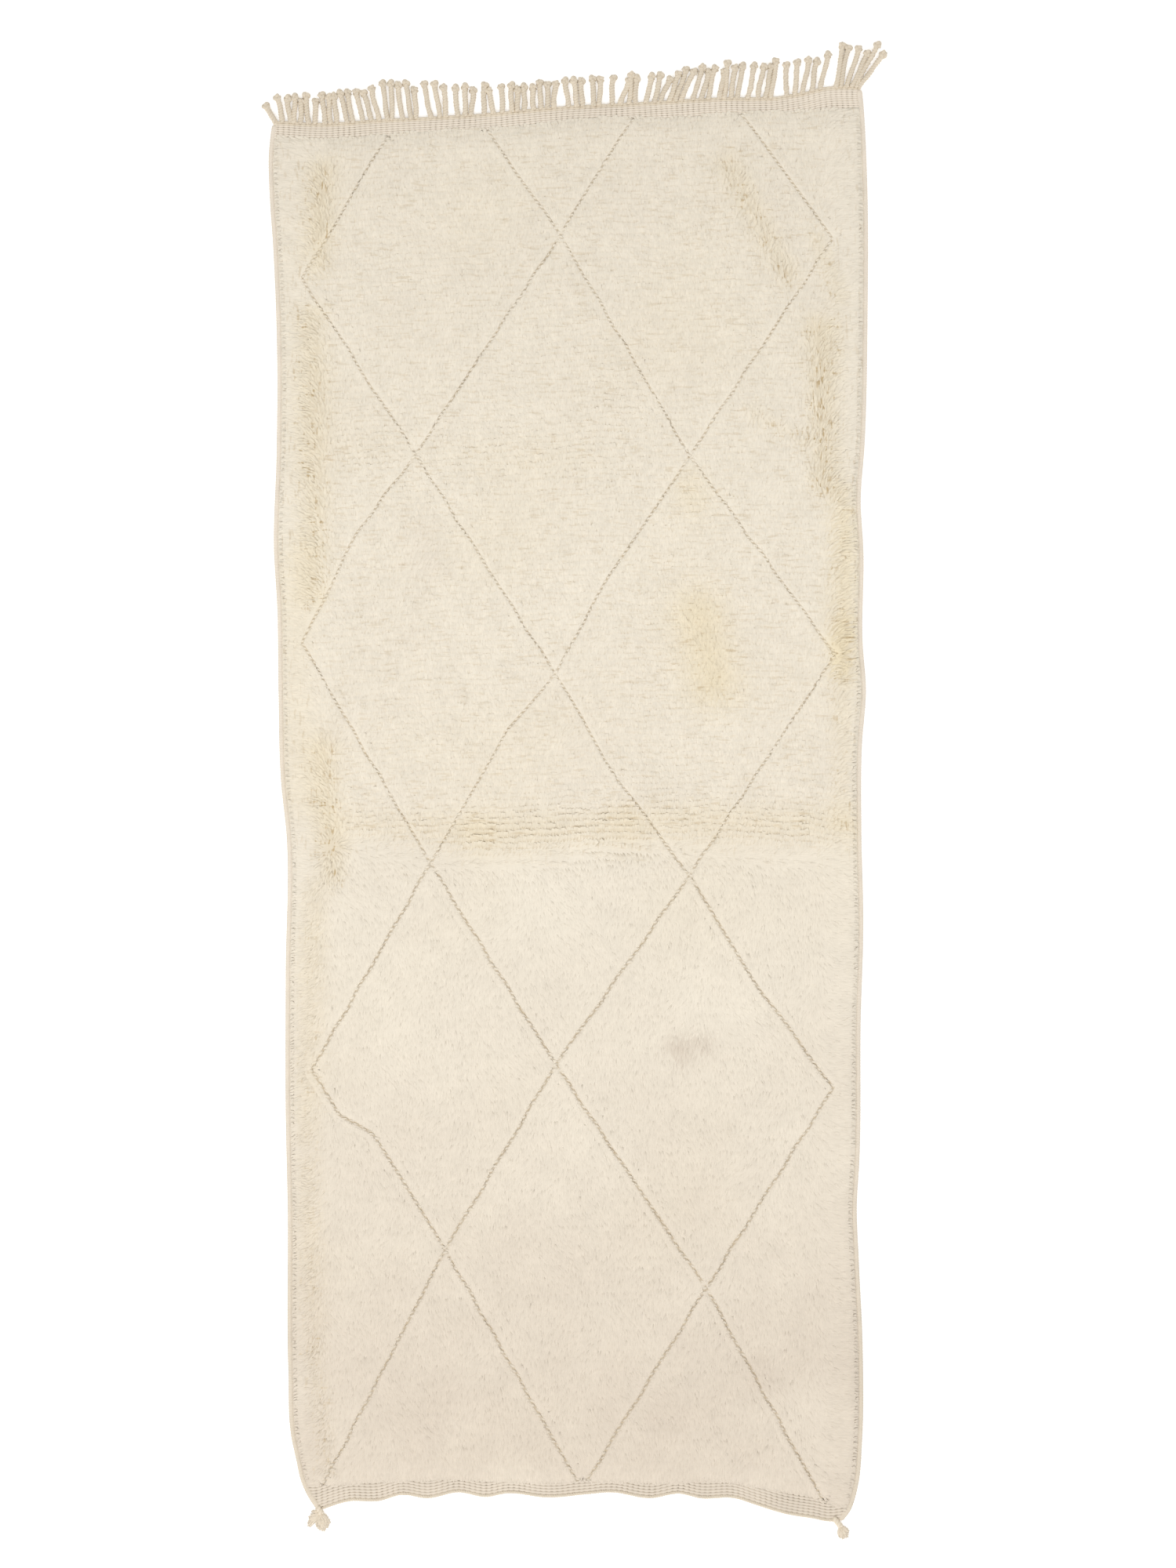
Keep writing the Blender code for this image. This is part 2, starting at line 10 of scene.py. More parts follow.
import bpy
import numpy as np
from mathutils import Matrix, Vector


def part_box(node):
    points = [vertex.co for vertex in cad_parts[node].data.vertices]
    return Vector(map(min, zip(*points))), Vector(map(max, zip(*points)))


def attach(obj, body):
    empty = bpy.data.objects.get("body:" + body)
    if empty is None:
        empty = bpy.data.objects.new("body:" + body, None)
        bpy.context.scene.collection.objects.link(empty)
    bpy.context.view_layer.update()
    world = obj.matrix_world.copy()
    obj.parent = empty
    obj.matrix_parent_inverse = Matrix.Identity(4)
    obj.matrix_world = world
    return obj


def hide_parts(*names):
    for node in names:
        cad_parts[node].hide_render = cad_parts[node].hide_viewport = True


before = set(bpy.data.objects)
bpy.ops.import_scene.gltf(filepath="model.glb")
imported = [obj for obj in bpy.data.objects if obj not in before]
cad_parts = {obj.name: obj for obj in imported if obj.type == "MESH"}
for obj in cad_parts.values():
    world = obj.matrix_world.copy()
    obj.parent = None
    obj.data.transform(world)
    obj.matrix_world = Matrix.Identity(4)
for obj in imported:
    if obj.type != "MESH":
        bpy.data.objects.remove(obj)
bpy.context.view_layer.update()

MM = 0.001
OVERALL_WIDTH = 960 * MM
OVERALL_LENGTH = 2297 * MM
GAP = 0.3 * MM
UP = np.array([0.0, 0.0, 1.0])
random = np.random.default_rng(41)

SELVEDGE_WIDTH = 7 * MM
STRIP_WIDTH = 6 * MM
GROOVE_STEP = 38 * MM
GROOVE_WAVER = 1.6 * MM
FLAT_WEAVE = 2.6 * MM  # top of the warps, on which the wefts of the woven ends lie
BED_HEIGHT = 5.4 * MM
BACK_HEIGHT = 0.3 * MM
CLOTH_WIDTH, CLOTH_LENGTH = 0.9, 2.13  # these four only give numbers of columns and rows
PILE_WIDTH, PILE_LENGTH = 0.89, 2.09

Place = namedtuple("Place", "x y")

LEFT_SIDE = [
    Place(18.6, 2175), Place(13, 2120), Place(14, 2070), Place(20, 1978), Place(26, 1806),
    Place(25, 1662), Place(21, 1518), Place(26, 1430), Place(28, 1300), Place(32, 1160),
    Place(40, 1084), Place(39, 870), Place(39, 654), Place(42, 510), Place(43, 260),
    Place(48, 156), Place(55, 124), Place(63, 90), Place(74, 66), Place(87, 47),
]
RIGHT_SIDE = [
    Place(921.6, 2229), Place(924.6, 2194), Place(929.5, 2094), Place(930.5, 1878),
    Place(926, 1680), Place(920, 1590), Place(924, 1518), Place(923, 1374), Place(928, 1302),
    Place(922, 1220), Place(921, 1086), Place(924, 942), Place(920, 798), Place(918, 582),
    Place(914, 510), Place(917, 430), Place(923, 294), Place(922, 150), Place(917, 90),
    Place(911, 64), Place(904, 46), Place(893, 31),
]
FRINGE_EDGE = [
    Place(18.6, 2175), Place(102, 2172), Place(188, 2178), Place(272, 2182), Place(359, 2188),
    Place(455, 2197), Place(530, 2201), Place(618, 2206), Place(702, 2211), Place(794, 2213),
    Place(836, 2220), Place(866, 2227), Place(921.6, 2229),
]
PILE_TOP = [
    Place(16, 2151), Place(102, 2148), Place(191, 2154), Place(279, 2160), Place(367, 2164),
    Place(455, 2174), Place(530, 2181), Place(618, 2179), Place(734, 2187), Place(830, 2190),
    Place(925, 2196),
]
PILE_BOTTOM = [
    Place(60, 84), Place(88, 83), Place(176, 88), Place(285, 92), Place(443, 87),
    Place(514, 89), Place(642, 87), Place(692, 90), Place(741, 84), Place(783, 76),
    Place(840, 67), Place(880, 52), Place(925, 46),
]
BOTTOM_EDGE = [
    Place(87, 44), Place(134, 59), Place(183, 60), Place(215, 69), Place(257, 64),
    Place(303, 73), Place(348, 66), Place(374, 71), Place(443, 65), Place(500, 70),
    Place(537, 73), Place(599, 64), Place(642, 71), Place(674, 64), Place(727, 64),
    Place(765, 52), Place(805, 40), Place(847, 33), Place(874, 28.5), Place(893, 31),
]

LATTICE_POINTS = {
    "top_1": Place(196, 2150), "top_2": Place(348, 2160), "top_3": Place(572, 2178),
    "top_4": Place(736, 2185), "left_1": Place(64, 1933), "right_1": Place(877, 1993),
    "cross_1": Place(460, 1999), "cross_2": Place(238, 1663), "cross_3": Place(658, 1661),
    "left_2": Place(64, 1375), "right_2": Place(881, 1357), "cross_4": Place(452, 1327),
    "cross_5": Place(261, 1037), "cross_6": Place(658, 1019), "left_3": Place(79, 721),
    "right_3": Place(878, 694), "cross_7": Place(453, 729), "cross_8": Place(284, 446),
    "cross_9": Place(683, 387), "bottom_1": Place(97, 86), "bottom_2": Place(486, 91),
    "bottom_3": Place(500, 92), "bottom_4": Place(862, 62),
    "bow_left": Place(148, 1543), "bow_middle": Place(378, 1241), "bow_upper": Place(534, 1477),
    "bow_lower": Place(550, 1161), "bow_right": Place(768, 839), "kink_1": Place(122, 652),
    "kink_2": Place(172, 624),
}
LATTICE_LINES = [
    "top_1 left_1 cross_2 cross_4 bow_lower cross_6 bow_right right_3 cross_9 bottom_3",
    "top_2 cross_1 cross_3 right_2 cross_6 cross_7 cross_8 bottom_1",
    "top_3 cross_1 cross_2 bow_left left_2 cross_5 cross_7 cross_9 bottom_4",
    "top_4 right_1 cross_3 bow_upper cross_4 bow_middle cross_5 left_3 kink_1 kink_2 cross_8 bottom_2",
]

# Where each cord of the fringe leaves the edge, and the middle of its knot.
Cord = namedtuple("Cord", "root x y")
FRINGE_CORDS = [
    Cord(22, 9, 2197), Cord(34, 26, 2210), Cord(47, 42, 2209), Cord(52, 53, 2211),
    Cord(61, 63, 2204), Cord(74, 70, 2213), Cord(84, 85, 2204), Cord(99, 94, 2214),
    Cord(108, 105, 2211), Cord(117, 113, 2213), Cord(133, 122, 2217), Cord(142, 134, 2218),
    Cord(157, 147, 2219), Cord(170, 158, 2217), Cord(182, 171, 2224), Cord(195, 187, 2232),
    Cord(201.5, 200, 2232), Cord(218, 211, 2230), Cord(231, 223, 2232), Cord(238, 236, 2222),
    Cord(262, 251, 2231), Cord(275, 267, 2231), Cord(284, 281, 2226), Cord(303, 299, 2225),
    Cord(314, 314, 2227), Cord(323, 326, 2222), Cord(343, 344, 2229), Cord(357, 350, 2221),
    Cord(371, 369, 2226), Cord(386, 385, 2229), Cord(394, 394, 2223), Cord(404, 404, 2227),
    Cord(419, 418, 2226), Cord(430, 428, 2233), Cord(440, 440, 2230), Cord(450, 453, 2231),
    Cord(472, 467, 2236), Cord(485, 480, 2237), Cord(494, 492, 2236), Cord(511, 509, 2239),
    Cord(519, 521, 2238), Cord(539, 541, 2240), Cord(552, 565, 2236), Cord(565, 569, 2245),
    Cord(575, 577, 2240), Cord(591, 600, 2243), Cord(604, 613, 2245), Cord(614, 628, 2238),
    Cord(627, 641, 2246), Cord(636, 652, 2253), Cord(645, 665, 2250), Cord(663, 678, 2257),
    Cord(676, 687, 2249), Cord(687, 697, 2255), Cord(704, 711, 2250), Cord(711, 716, 2263),
    Cord(722, 728, 2256), Cord(731, 739, 2259), Cord(747, 757, 2259), Cord(763, 772, 2258),
    Cord(774, 783, 2257), Cord(782, 790, 2266), Cord(807, 806, 2260), Cord(819, 823, 2264),
    Cord(831, 840, 2268), Cord(846, 853, 2266), Cord(858, 870, 2276), Cord(883, 892, 2290),
    Cord(890, 901, 2286), Cord(899, 917, 2285), Cord(907, 930, 2278), Cord(914, 946, 2291),
    Cord(918, 955, 2277),
]

# The neck of a corner tuft runs from the corner to its end. The tips of its locks are spread over
# ellipses: middle, half sizes and turn, the number of locks and how high they stand.
Spray = namedtuple("Spray", "x y reach_x reach_y turn count top")
Tuft = namedtuple("Tuft", "corner neck_end sprays")
LEFT_TUFT = Tuft(
    Place(88, 50), Place(94, 40),
    [Spray(78, 32, 6, 15, -0.35, 70, 5), Spray(96, 26, 12, 14, 0, 160, 7)],
)
RIGHT_TUFT = Tuft(Place(879, 34), Place(890, 20), [Spray(894, 10, 10, 10, 0, 130, 6)])

# Where the pile is uneven: the two ends of a stroke, its half width, how far the strands stand
# apart there, how far the tips of its rows stand off and how yellow the wool is.
Stroke = namedtuple("Stroke", "x0 y0 x1 y1 width open rows yellow")
STROKES = [
    Stroke(97, 2090, 92, 1951, 20, 1.0, 0, 0.7), Stroke(84, 1870, 88, 1447, 22, 0.85, 0, 0.6),
    Stroke(98, 1207, 112, 1027, 20, 0.9, 0, 0.7), Stroke(88, 1000, 77, 620, 17, 0.45, 0, 0.45),
    Stroke(80, 580, 86, 300, 15, 0.6, 0, 0.45), Stroke(86, 290, 108, 110, 13, 0.7, 0, 0.4),
    Stroke(888, 1330, 884, 1100, 16, 0.35, 0, 0.4), Stroke(858, 1850, 862, 1614, 24, 1.0, 0, 0.7),
    Stroke(886, 1399, 884, 1327, 16, 0.9, 0, 0.7), Stroke(886, 1600, 888, 1340, 18, 0.7, 0, 0.5),
    Stroke(716, 2098, 806, 1935, 22, 0.8, 0.1, 0.5), Stroke(850, 1990, 882, 1900, 14, 0.4, 0, 0.4),
    Stroke(130, 1092, 330, 1082, 26, 0, 0.55, 0.4), Stroke(330, 1076, 560, 1086, 30, 0, 0.9, 0.5),
    Stroke(560, 1098, 900, 1092, 32, 0, 0.6, 0.5), Stroke(60, 1500, 66, 1130, 30, 0, 0, 0.35),
    Stroke(672, 1410, 694, 1310, 42, 0.35, 0.2, 1.1), Stroke(660, 1612, 664, 1590, 30, 0.2, 0.2, 0.5),
    Stroke(520, 1760, 545, 1720, 40, 0, 0.2, 0.0), Stroke(890, 1560, 885, 1380, 26, 0, 0, 0.4),
    Stroke(756, 1716, 830, 1678, 16, 0.5, 0, 0.3), Stroke(150, 1665, 520, 1650, 36, 0, 0.25, 0.12),
]
STAINS = [
    Stroke(630, 762, 680, 764, 14, 0, 0, 1.0), Stroke(642, 752, 650, 735, 10, 0, 0, 0.8),
    Stroke(766, 275, 768, 250, 22, 0, 0, 0.5), Stroke(615, 200, 630, 186, 22, 0, 0, 0.45),
    Stroke(250, 1535, 256, 1510, 34, 0, 0, 0.35),
]
# How far the colour is drawn towards grey, and darker, along the rug: y in metres from its middle, and
# the share there.
GREY_PLACES = [-1.1, -0.9, -0.6, -0.29, 0.08, 0.4, 0.93]
GREY_SHARES = [1.0, 0.95, 0.58, 0.28, 0.12, 0.0, 0.1]
LEFT_PARTING = (90 - 480) * MM
RIGHT_PARTING = (868 - 480) * MM
CROSS_PARTING = (1052 - 1148.5) * MM
PARTING_SOFTNESS = 20 * MM

ROW_PITCH = 9.4 * MM
LOCK_PITCH = 5.2 * MM
CROWN = 13.2 * MM
CROWN_FOOT = 6.9 * MM
FOOT_SPREAD = 1.0045
CROWN_EDGE = 7.9 * MM
CROWN_STEP = 8 * MM
SIDE_RUN = 9 * MM
END_RUN = 30 * MM
# Distance from a groove's middle, and how far up its bank the pile has come there.
GROOVE_PROFILE = (
    np.array([0, 0.8, 1.4, 2.2, 3.6, 6.0, 9.0]) * MM, np.array([0, 0.1, 0.4, 0.75, 0.93, 1.0, 1.0])
)
GROOVE_FLOOR = 10.6 * MM
BANK_REACH = 7.2 * MM  # the crown is sunk this near a groove, and its banks cover the hollow
BANK_STEPS = np.array([16, 11.5, 7.6, 4.8, 3.2, 2.0, 1.0]) * MM
BANK_PITCH = 5.6 * MM


def at_origin(places):
    """Table places as an array in metres, moved so that the bounding box is centred on the origin."""
    centre = np.array([OVERALL_WIDTH, OVERALL_LENGTH]) / 2
    return np.array([(place.x, place.y) for place in places]) * MM - centre


def turned(x, y, angle):
    """Directions or places (x, y) turned anticlockwise by an angle."""
    return x * np.cos(angle) - y * np.sin(angle), x * np.sin(angle) + y * np.cos(angle)


def smooth(along, across, where):
    """Cubic Hermite curve through the points (along, across), with central-difference slopes."""
    slopes = np.gradient(across, along)
    i = np.clip(np.searchsorted(along, where) - 1, 0, len(along) - 2)
    run = along[i + 1] - along[i]
    t = np.clip((where - along[i]) / run, 0, 1)
    start = (1 + 2 * t) * (1 - t) ** 2 * across[i] + t * (1 - t) ** 2 * run * slopes[i]
    end = t * t * (3 - 2 * t) * across[i + 1] - t * t * (1 - t) * run * slopes[i + 1]
    return start + end


def edge_across(places):
    """The y of an end edge as a function of x."""
    x, y = at_origin(places).T
    return lambda where: smooth(x, y, where)


def edge_along(places):
    """The x of a side edge as a function of y."""
    x, y = at_origin(places)[::-1].T
    return lambda where: smooth(y, x, where)


left_side = edge_along(LEFT_SIDE)
right_side = edge_along(RIGHT_SIDE)
fringe_edge = edge_across(FRINGE_EDGE)
pile_top = edge_across(PILE_TOP)
pile_bottom = edge_across(PILE_BOTTOM)
bottom_edge = edge_across(BOTTOM_EDGE)


def body_left(y):
    """The x at which the cloth begins, beside the left side cord."""
    return left_side(y) + SELVEDGE_WIDTH + GAP


def body_right(y):
    """The x at which the cloth ends, beside the right side cord."""
    return right_side(y) - SELVEDGE_WIDTH - GAP


def body_top(x):
    """The y at which the cloth ends, below the twined strip of the fringe."""
    return fringe_edge(x) - STRIP_WIDTH - GAP


def laid(u, v, low, high):
    """Places on the cloth: u of the way from its left to its right side and v of the way from the
    end edge low to the end edge high. x and y depend on each other, so they are found by turns."""
    x, y = np.broadcast_arrays(u * 0.0, v * 0.0)
    for _ in range(12):
        x = body_left(y) + (body_right(y) - body_left(y)) * u
        y = low(x) + (high(x) - low(x)) * v
    return x, y


def field(width, length, step, low, high):
    """A grid, about a step apart, between the end edges low and high: how far each place lies
    across the cloth and along it, as shares, and its x and y."""
    u, v = np.meshgrid(np.linspace(0, 1, round(width / step)), np.linspace(0, 1, round(length / step)))
    return u, v, *laid(u, v, low, high)


def lattice_lines():
    """Each groove's middle as points GROOVE_STEP apart that waver a little from side to side."""
    lines = []
    for number, names in enumerate(LATTICE_LINES):
        corners = at_origin([LATTICE_POINTS[name] for name in names.split()])
        points = [corners[0]]
        for a, b in zip(corners[:-1], corners[1:]):
            count = max(1, round(np.linalg.norm(b - a) / GROOVE_STEP))
            t = np.linspace(0, 1, count + 1)[1:, None]
            across = np.array([a[1] - b[1], b[0] - a[0]]) / np.linalg.norm(b - a)
            waver = GROOVE_WAVER * np.sin(2.4 * number + 37 * t[:-1]) * across
            points.extend(a + (b - a) * t[:-1] + waver)
            points.append(b)
        lines.append(np.array(points))
    return lines


GROOVES = lattice_lines()


def distance_to(x, y, start, run):
    """Distance from each place to a segment: the nearest point is at the place's shadow on the
    segment's line, held between the segment's ends."""
    length = max(run @ run, 1e-12)
    t = np.clip(((x - start[0]) * run[0] + (y - start[1]) * run[1]) / length, 0, 1)
    return np.hypot(x - start[0] - run[0] * t, y - start[1] - run[1] * t)


def groove_distance(x, y):
    """Distance from each place to the nearest groove's middle."""
    nearest = np.full(np.shape(x), 1.0)
    for line in GROOVES:
        for start, run in zip(line[:-1], np.diff(line, axis=0)):
            nearest = np.minimum(nearest, distance_to(x, y, start, run))
    return nearest


def pile_margins(x, y):
    """How far each place lies inside the pile's sides and inside its ends, negative outside."""
    side = np.minimum(x - body_left(y), body_right(y) - x)
    end = np.minimum(pile_top(x) - y, y - pile_bottom(x))
    return side, end


def pile_margin(x, y):
    """How far each place lies inside the pile's nearest edge, negative outside."""
    return np.minimum(*pile_margins(x, y))


def stroked(x, y, strokes, strength):
    """Sum over the strokes of strength times exp(-(distance / width)^2)."""
    total = np.zeros(np.shape(x))
    for stroke in strokes:
        start, end = at_origin([Place(stroke.x0, stroke.y0), Place(stroke.x1, stroke.y1)])
        away = distance_to(x, y, start, end - start) / (stroke.width * MM)
        total = total + getattr(stroke, strength) * np.exp(-(away**2))
    return total


def ripple(x, y, wavelength, seed):
    """Smooth noise from about -1 to 1: a sum of eight plane waves of seeded direction and phase,
    with lengths between 0.7 and 1.5 of the wavelength."""
    draw = np.random.default_rng(seed)
    total = np.zeros(np.shape(x))
    for _ in range(8):
        turn, phase = draw.uniform(0, 2 * np.pi, 2)
        pace = 2 * np.pi / (wavelength * draw.uniform(0.7, 1.5))
        total = total + np.sin(pace * (x * np.cos(turn) + y * np.sin(turn)) + phase)
    return total / 3.2


def opened(x, y):
    """How far the strands of the pile stand apart, from 0 to 1."""
    return np.clip(stroked(x, y, STROKES, "open"), 0, 1)


def ridged(x, y):
    """How far the tips of the rows stand off, from 0 to 1."""
    return np.clip(stroked(x, y, STROKES, "rows"), 0, 1)


def upper_share(y):
    """1 above the cross parting, where the pile lies up, and 0 below it, where it lies down."""
    return 0.5 + 0.5 * np.tanh((y - CROSS_PARTING) / (2 * PARTING_SOFTNESS))


def yellowing(x, y):
    """How yellow the wool is: the strokes' yellow and a slow drift."""
    drift = 0.12 * ripple(x, y, 0.35, 5)
    return np.clip(stroked(x, y, STROKES, "yellow") + drift, 0, 1.4)


def greying(x, y):
    """Stains, and a slow shift towards the grey colour, darker towards the lower end, with two sizes
    of mottle that grow with it."""
    slow = np.interp(y, GREY_PLACES, GREY_SHARES)
    mottle = (0.03 + 0.05 * slow) * ripple(x, y, 0.25, 6) + (0.02 + 0.03 * slow) * ripple(x, y, 0.1, 8)
    return np.clip(0.55 * stroked(x, y, STAINS, "yellow") + slow + mottle, 0, 1.2)


# ---------------------------------------------------------------- meshes

# rise is 1 on open surfaces and lower where painted shade falls: towards the roots of strands, in
# hollows, dips and creases.
MARKS = ("yellowing", "greying", "rise", "number", "sideways", "upright", "rows")
CELL_SIDES = 0.84  # share of a cell's height that the sides of a tube take, the rest is for caps


class Tubes:
    """Closed tubes of equal or different sizes that end up in one mesh."""

    def __init__(self):
        self.points = []
        self.faces = []
        self.strand = []
        self.cells = []
        self.marks = {name: [] for name in MARKS}
        self.count = 0
        self.cell_count = 0
        self.around = 0.0
        self.along = 0.0

    def add(self, rings, **marks):
        """rings[t, s, a] is point a of ring s of tube t, anticlockwise seen from the tube's end."""
        tubes, stations, around = rings.shape[:3]
        index = self.count + np.arange(rings[..., 0].size).reshape(tubes, stations, around)
        ahead = np.roll(index, -1, axis=2)
        sides = np.stack([index[:, :-1], ahead[:, :-1], ahead[:, 1:], index[:, 1:]], -1)
        steps = np.linalg.norm(np.diff(rings.mean(2), axis=1), axis=-1)
        run = np.concatenate([np.zeros((tubes, 1)), np.cumsum(steps, 1)], 1)
        share = np.arange(around)[:, None] / around + np.array([0, 1, 1, 0]) / around
        end = np.arange(stations - 1)[:, None] + np.array([0, 0, 1, 1])
        cell = self.cell_count + np.arange(tubes * (stations - 1)).reshape(tubes, -1, 1, 1)
        shape = sides.shape
        self.faces.append(sides.reshape(-1, 4))
        self.strand.append(np.stack([
            np.broadcast_to(share, shape), np.broadcast_to(run[:, end][:, :, None], shape)
        ], -1).reshape(-1, 2))
        self.cells.append(np.stack([
            np.broadcast_to(cell, shape),
            np.broadcast_to(0.03 + 0.94 * share, shape),
            np.broadcast_to(CELL_SIDES * np.array([0.03, 0.03, 1, 1]), shape),
        ], -1).reshape(-1, 3))
        self.add_cap(index[:, 0, ::-1], run[:, 0], cell[:, 0, 0, 0], 0.25)
        self.add_cap(index[:, -1], run[:, -1], cell[:, -1, 0, 0], 0.75)
        self.points.append(rings.reshape(-1, 3))
        for name in MARKS:
            mark = np.broadcast_to(np.asarray(marks.get(name, 0.0)), (tubes, stations, around))
            self.marks[name].append(mark.reshape(-1))
        self.count += rings[..., 0].size
        self.cell_count += tubes * (stations - 1)
        girth = np.linalg.norm(np.roll(rings, -1, axis=2) - rings, axis=-1).sum(2).mean()
        self.around += girth * tubes * (stations - 1)
        self.along += steps.sum()

    def add_cap(self, corners, run, cell, middle):
        """Caps over one end of each tube. Each lies on a small ring of the bake's cell."""
        turn = 2 * np.pi * np.arange(corners.shape[1]) / corners.shape[1]
        shape = corners.shape
        self.faces.append(corners)
        self.strand.append(np.stack([
            np.broadcast_to(turn / (2 * np.pi), shape), np.broadcast_to(run[:, None], shape)
        ], -1).reshape(-1, 2))
        self.cells.append(np.stack([
            np.broadcast_to(cell[:, None], shape),
            np.broadcast_to(middle + 0.2 * np.cos(turn), shape),
            np.broadcast_to(0.93 + 0.05 * np.sin(turn), shape),
        ], -1).reshape(-1, 3))

    def bake_map(self):
        """Cells stacked in columns, shaped so that a pixel covers as much along as around."""
        rows = int(np.ceil(np.sqrt(self.cell_count * self.around / self.along)))
        columns = int(np.ceil(self.cell_count / rows))
        cell, u, v = np.concatenate(self.cells).T
        return np.stack([(cell // rows + u) / columns, (cell % rows + v) / rows], 1)

    def make(self, name, material):
        maps = {"strand": np.concatenate(self.strand), "OFBake": self.bake_map()}
        marks = {mark: np.concatenate(values) for mark, values in self.marks.items()}
        return add_piece(name, np.concatenate(self.points), self.faces, maps, marks, material)


def add_piece(name, points, face_sets, maps, marks, material):
    """A smooth mesh object from arrays, riding on the rug. Each face set holds faces of one size."""
    mesh = bpy.data.meshes.new(name)
    corners = np.concatenate([faces.ravel() for faces in face_sets])
    sizes = np.concatenate([np.full(len(faces), faces.shape[1]) for faces in face_sets])
    mesh.vertices.add(len(points))
    mesh.vertices.foreach_set("co", points.astype(np.float32).ravel())
    mesh.loops.add(len(corners))
    mesh.loops.foreach_set("vertex_index", corners.astype(np.int32))
    mesh.polygons.add(len(sizes))
    mesh.polygons.foreach_set("loop_start", (np.cumsum(sizes) - sizes).astype(np.int32))
    mesh.update(calc_edges=True)
    for label, places in maps.items():
        mesh.uv_layers.new(name=label).uv.foreach_set("vector", places.astype(np.float32).ravel())
    for label, values in marks.items():
        layer = mesh.attributes.new(label, "FLOAT", "POINT")
        layer.data.foreach_set("value", values.astype(np.float32))
    mesh.shade_smooth()
    mesh.materials.append(material)
    piece = bpy.data.objects.new(name, mesh)
    bpy.context.scene.collection.objects.link(piece)
    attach(piece, "root")
    return piece


def unit(vectors):
    """Vectors divided by their lengths."""
    return vectors / np.maximum(np.linalg.norm(vectors, axis=-1, keepdims=True), 1e-12)


def frames(path):
    """Sideways, upward and forward directions at each point of paths that are never upright."""
    forward = unit(np.gradient(path, axis=-2))
    sideways = unit(np.cross(UP, forward))
    return sideways, np.cross(forward, sideways), forward


def tube(path, half_width, half_height, around, swell=None):
    """Elliptical rings carried along paths: centre + sideways * a * cos(turn) + upward * b *
    sin(turn), both times swell, a factor for each ring and turn."""
    turn = 2 * np.pi * np.arange(around) / around + np.pi / 2
    sideways, upward, _ = frames(path)
    width = np.broadcast_to(half_width, path.shape[:-1])[..., None] * np.cos(turn)
    height = np.broadcast_to(half_height, path.shape[:-1])[..., None] * np.sin(turn)
    if swell is not None:
        width = width * swell(turn)
        height = height * swell(turn)
    ring = sideways[..., None, :] * width[..., None] + upward[..., None, :] * height[..., None]
    return path[..., None, :] + ring


def resample(points, step):
    """Points a step apart along a polyline, with the distance of each from its start."""
    run = np.concatenate([[0], np.cumsum(np.linalg.norm(np.diff(points, axis=0), axis=1))])
    where = np.linspace(0, run[-1], max(2, round(run[-1] / step)))
    return np.stack([np.interp(where, run, points[:, i]) for i in range(2)], 1), where


def lifted(flat, height):
    """Points in the plane given a height."""
    return np.concatenate([flat, np.broadcast_to(height, flat.shape[:-1])[..., None]], -1)


def tints(x, y):
    """The marks that colour the wool at each place."""
    return {"yellowing": yellowing(x, y), "greying": greying(x, y)}


def path_tints(flat):
    """The tints along one path in the plane, shaped for the rings round it."""
    return {name: mark[None, :, None] for name, mark in tints(*flat.T).items()}


# ---------------------------------------------------------------- materials


def node(tree, kind, place, **sockets):
    """A node of a kind, with the values of sockets given by name."""
    made = tree.nodes.new(kind)
    made.location = place
    for name, value in sockets.items():
        made.inputs[name.replace("_", " ")].default_value = value
    return made


def feed(tree, sockets, values):
    """Links each socket to its value where that is a socket too, and otherwise sets it. A colour
    is given as three numbers."""
    for socket, value in zip(sockets, values):
        if isinstance(value, bpy.types.NodeSocket):
            tree.links.new(value, socket)
        elif isinstance(value, tuple):
            socket.default_value = (*value, 1)
        else:
            socket.default_value = value


def math_node(tree, place, operation, a, b):
    """The outcome of an operation on two sockets or numbers."""
    made = node(tree, "ShaderNodeMath", place)
    made.operation = operation
    feed(tree, made.inputs, (a, b))
    return made.outputs[0]


def mix_colour(tree, place, share, first, second):
    """The first colour, with a share of the second."""
    made = node(tree, "ShaderNodeMix", place)
    made.data_type = "RGBA"
    feed(tree, (made.inputs[0], made.inputs[6], made.inputs[7]), (share, first, second))
    return made.outputs[2]


def mix_number(tree, place, share, first, second):
    """The first number, with a share of the second."""
    made = node(tree, "ShaderNodeMix", place)
    feed(tree, (made.inputs[0], made.inputs[2], made.inputs[3]), (share, first, second))
    return made.outputs[0]


def attribute(tree, place, name):
    """One of the marks on the mesh."""
    made = node(tree, "ShaderNodeAttribute", place)
    made.attribute_name = name
    return made.outputs["Fac"]


def group_node(tree, group, place, **sockets):
    """A node group in use, with the values of sockets given by name."""
    made = node(tree, "ShaderNodeGroup", place)
    made.node_tree = group
    for name, value in sockets.items():
        made.inputs[name.replace("_", " ")].default_value = value
    return made


def new_group(name, inputs, outputs):
    """A node group with named sockets, what its input node gives and what its output node wants."""
    tree = bpy.data.node_groups.new(name, "ShaderNodeTree")
    for label, kind, value in inputs:
        socket = tree.interface.new_socket(name=label, in_out="INPUT", socket_type=kind)
        socket.default_value = value
    for label, kind in outputs:
        tree.interface.new_socket(name=label, in_out="OUTPUT", socket_type=kind)
    given = node(tree, "NodeGroupInput", (-900, 0)).outputs
    wanted = node(tree, "NodeGroupOutput", (900, 0)).inputs
    return tree, given, wanted


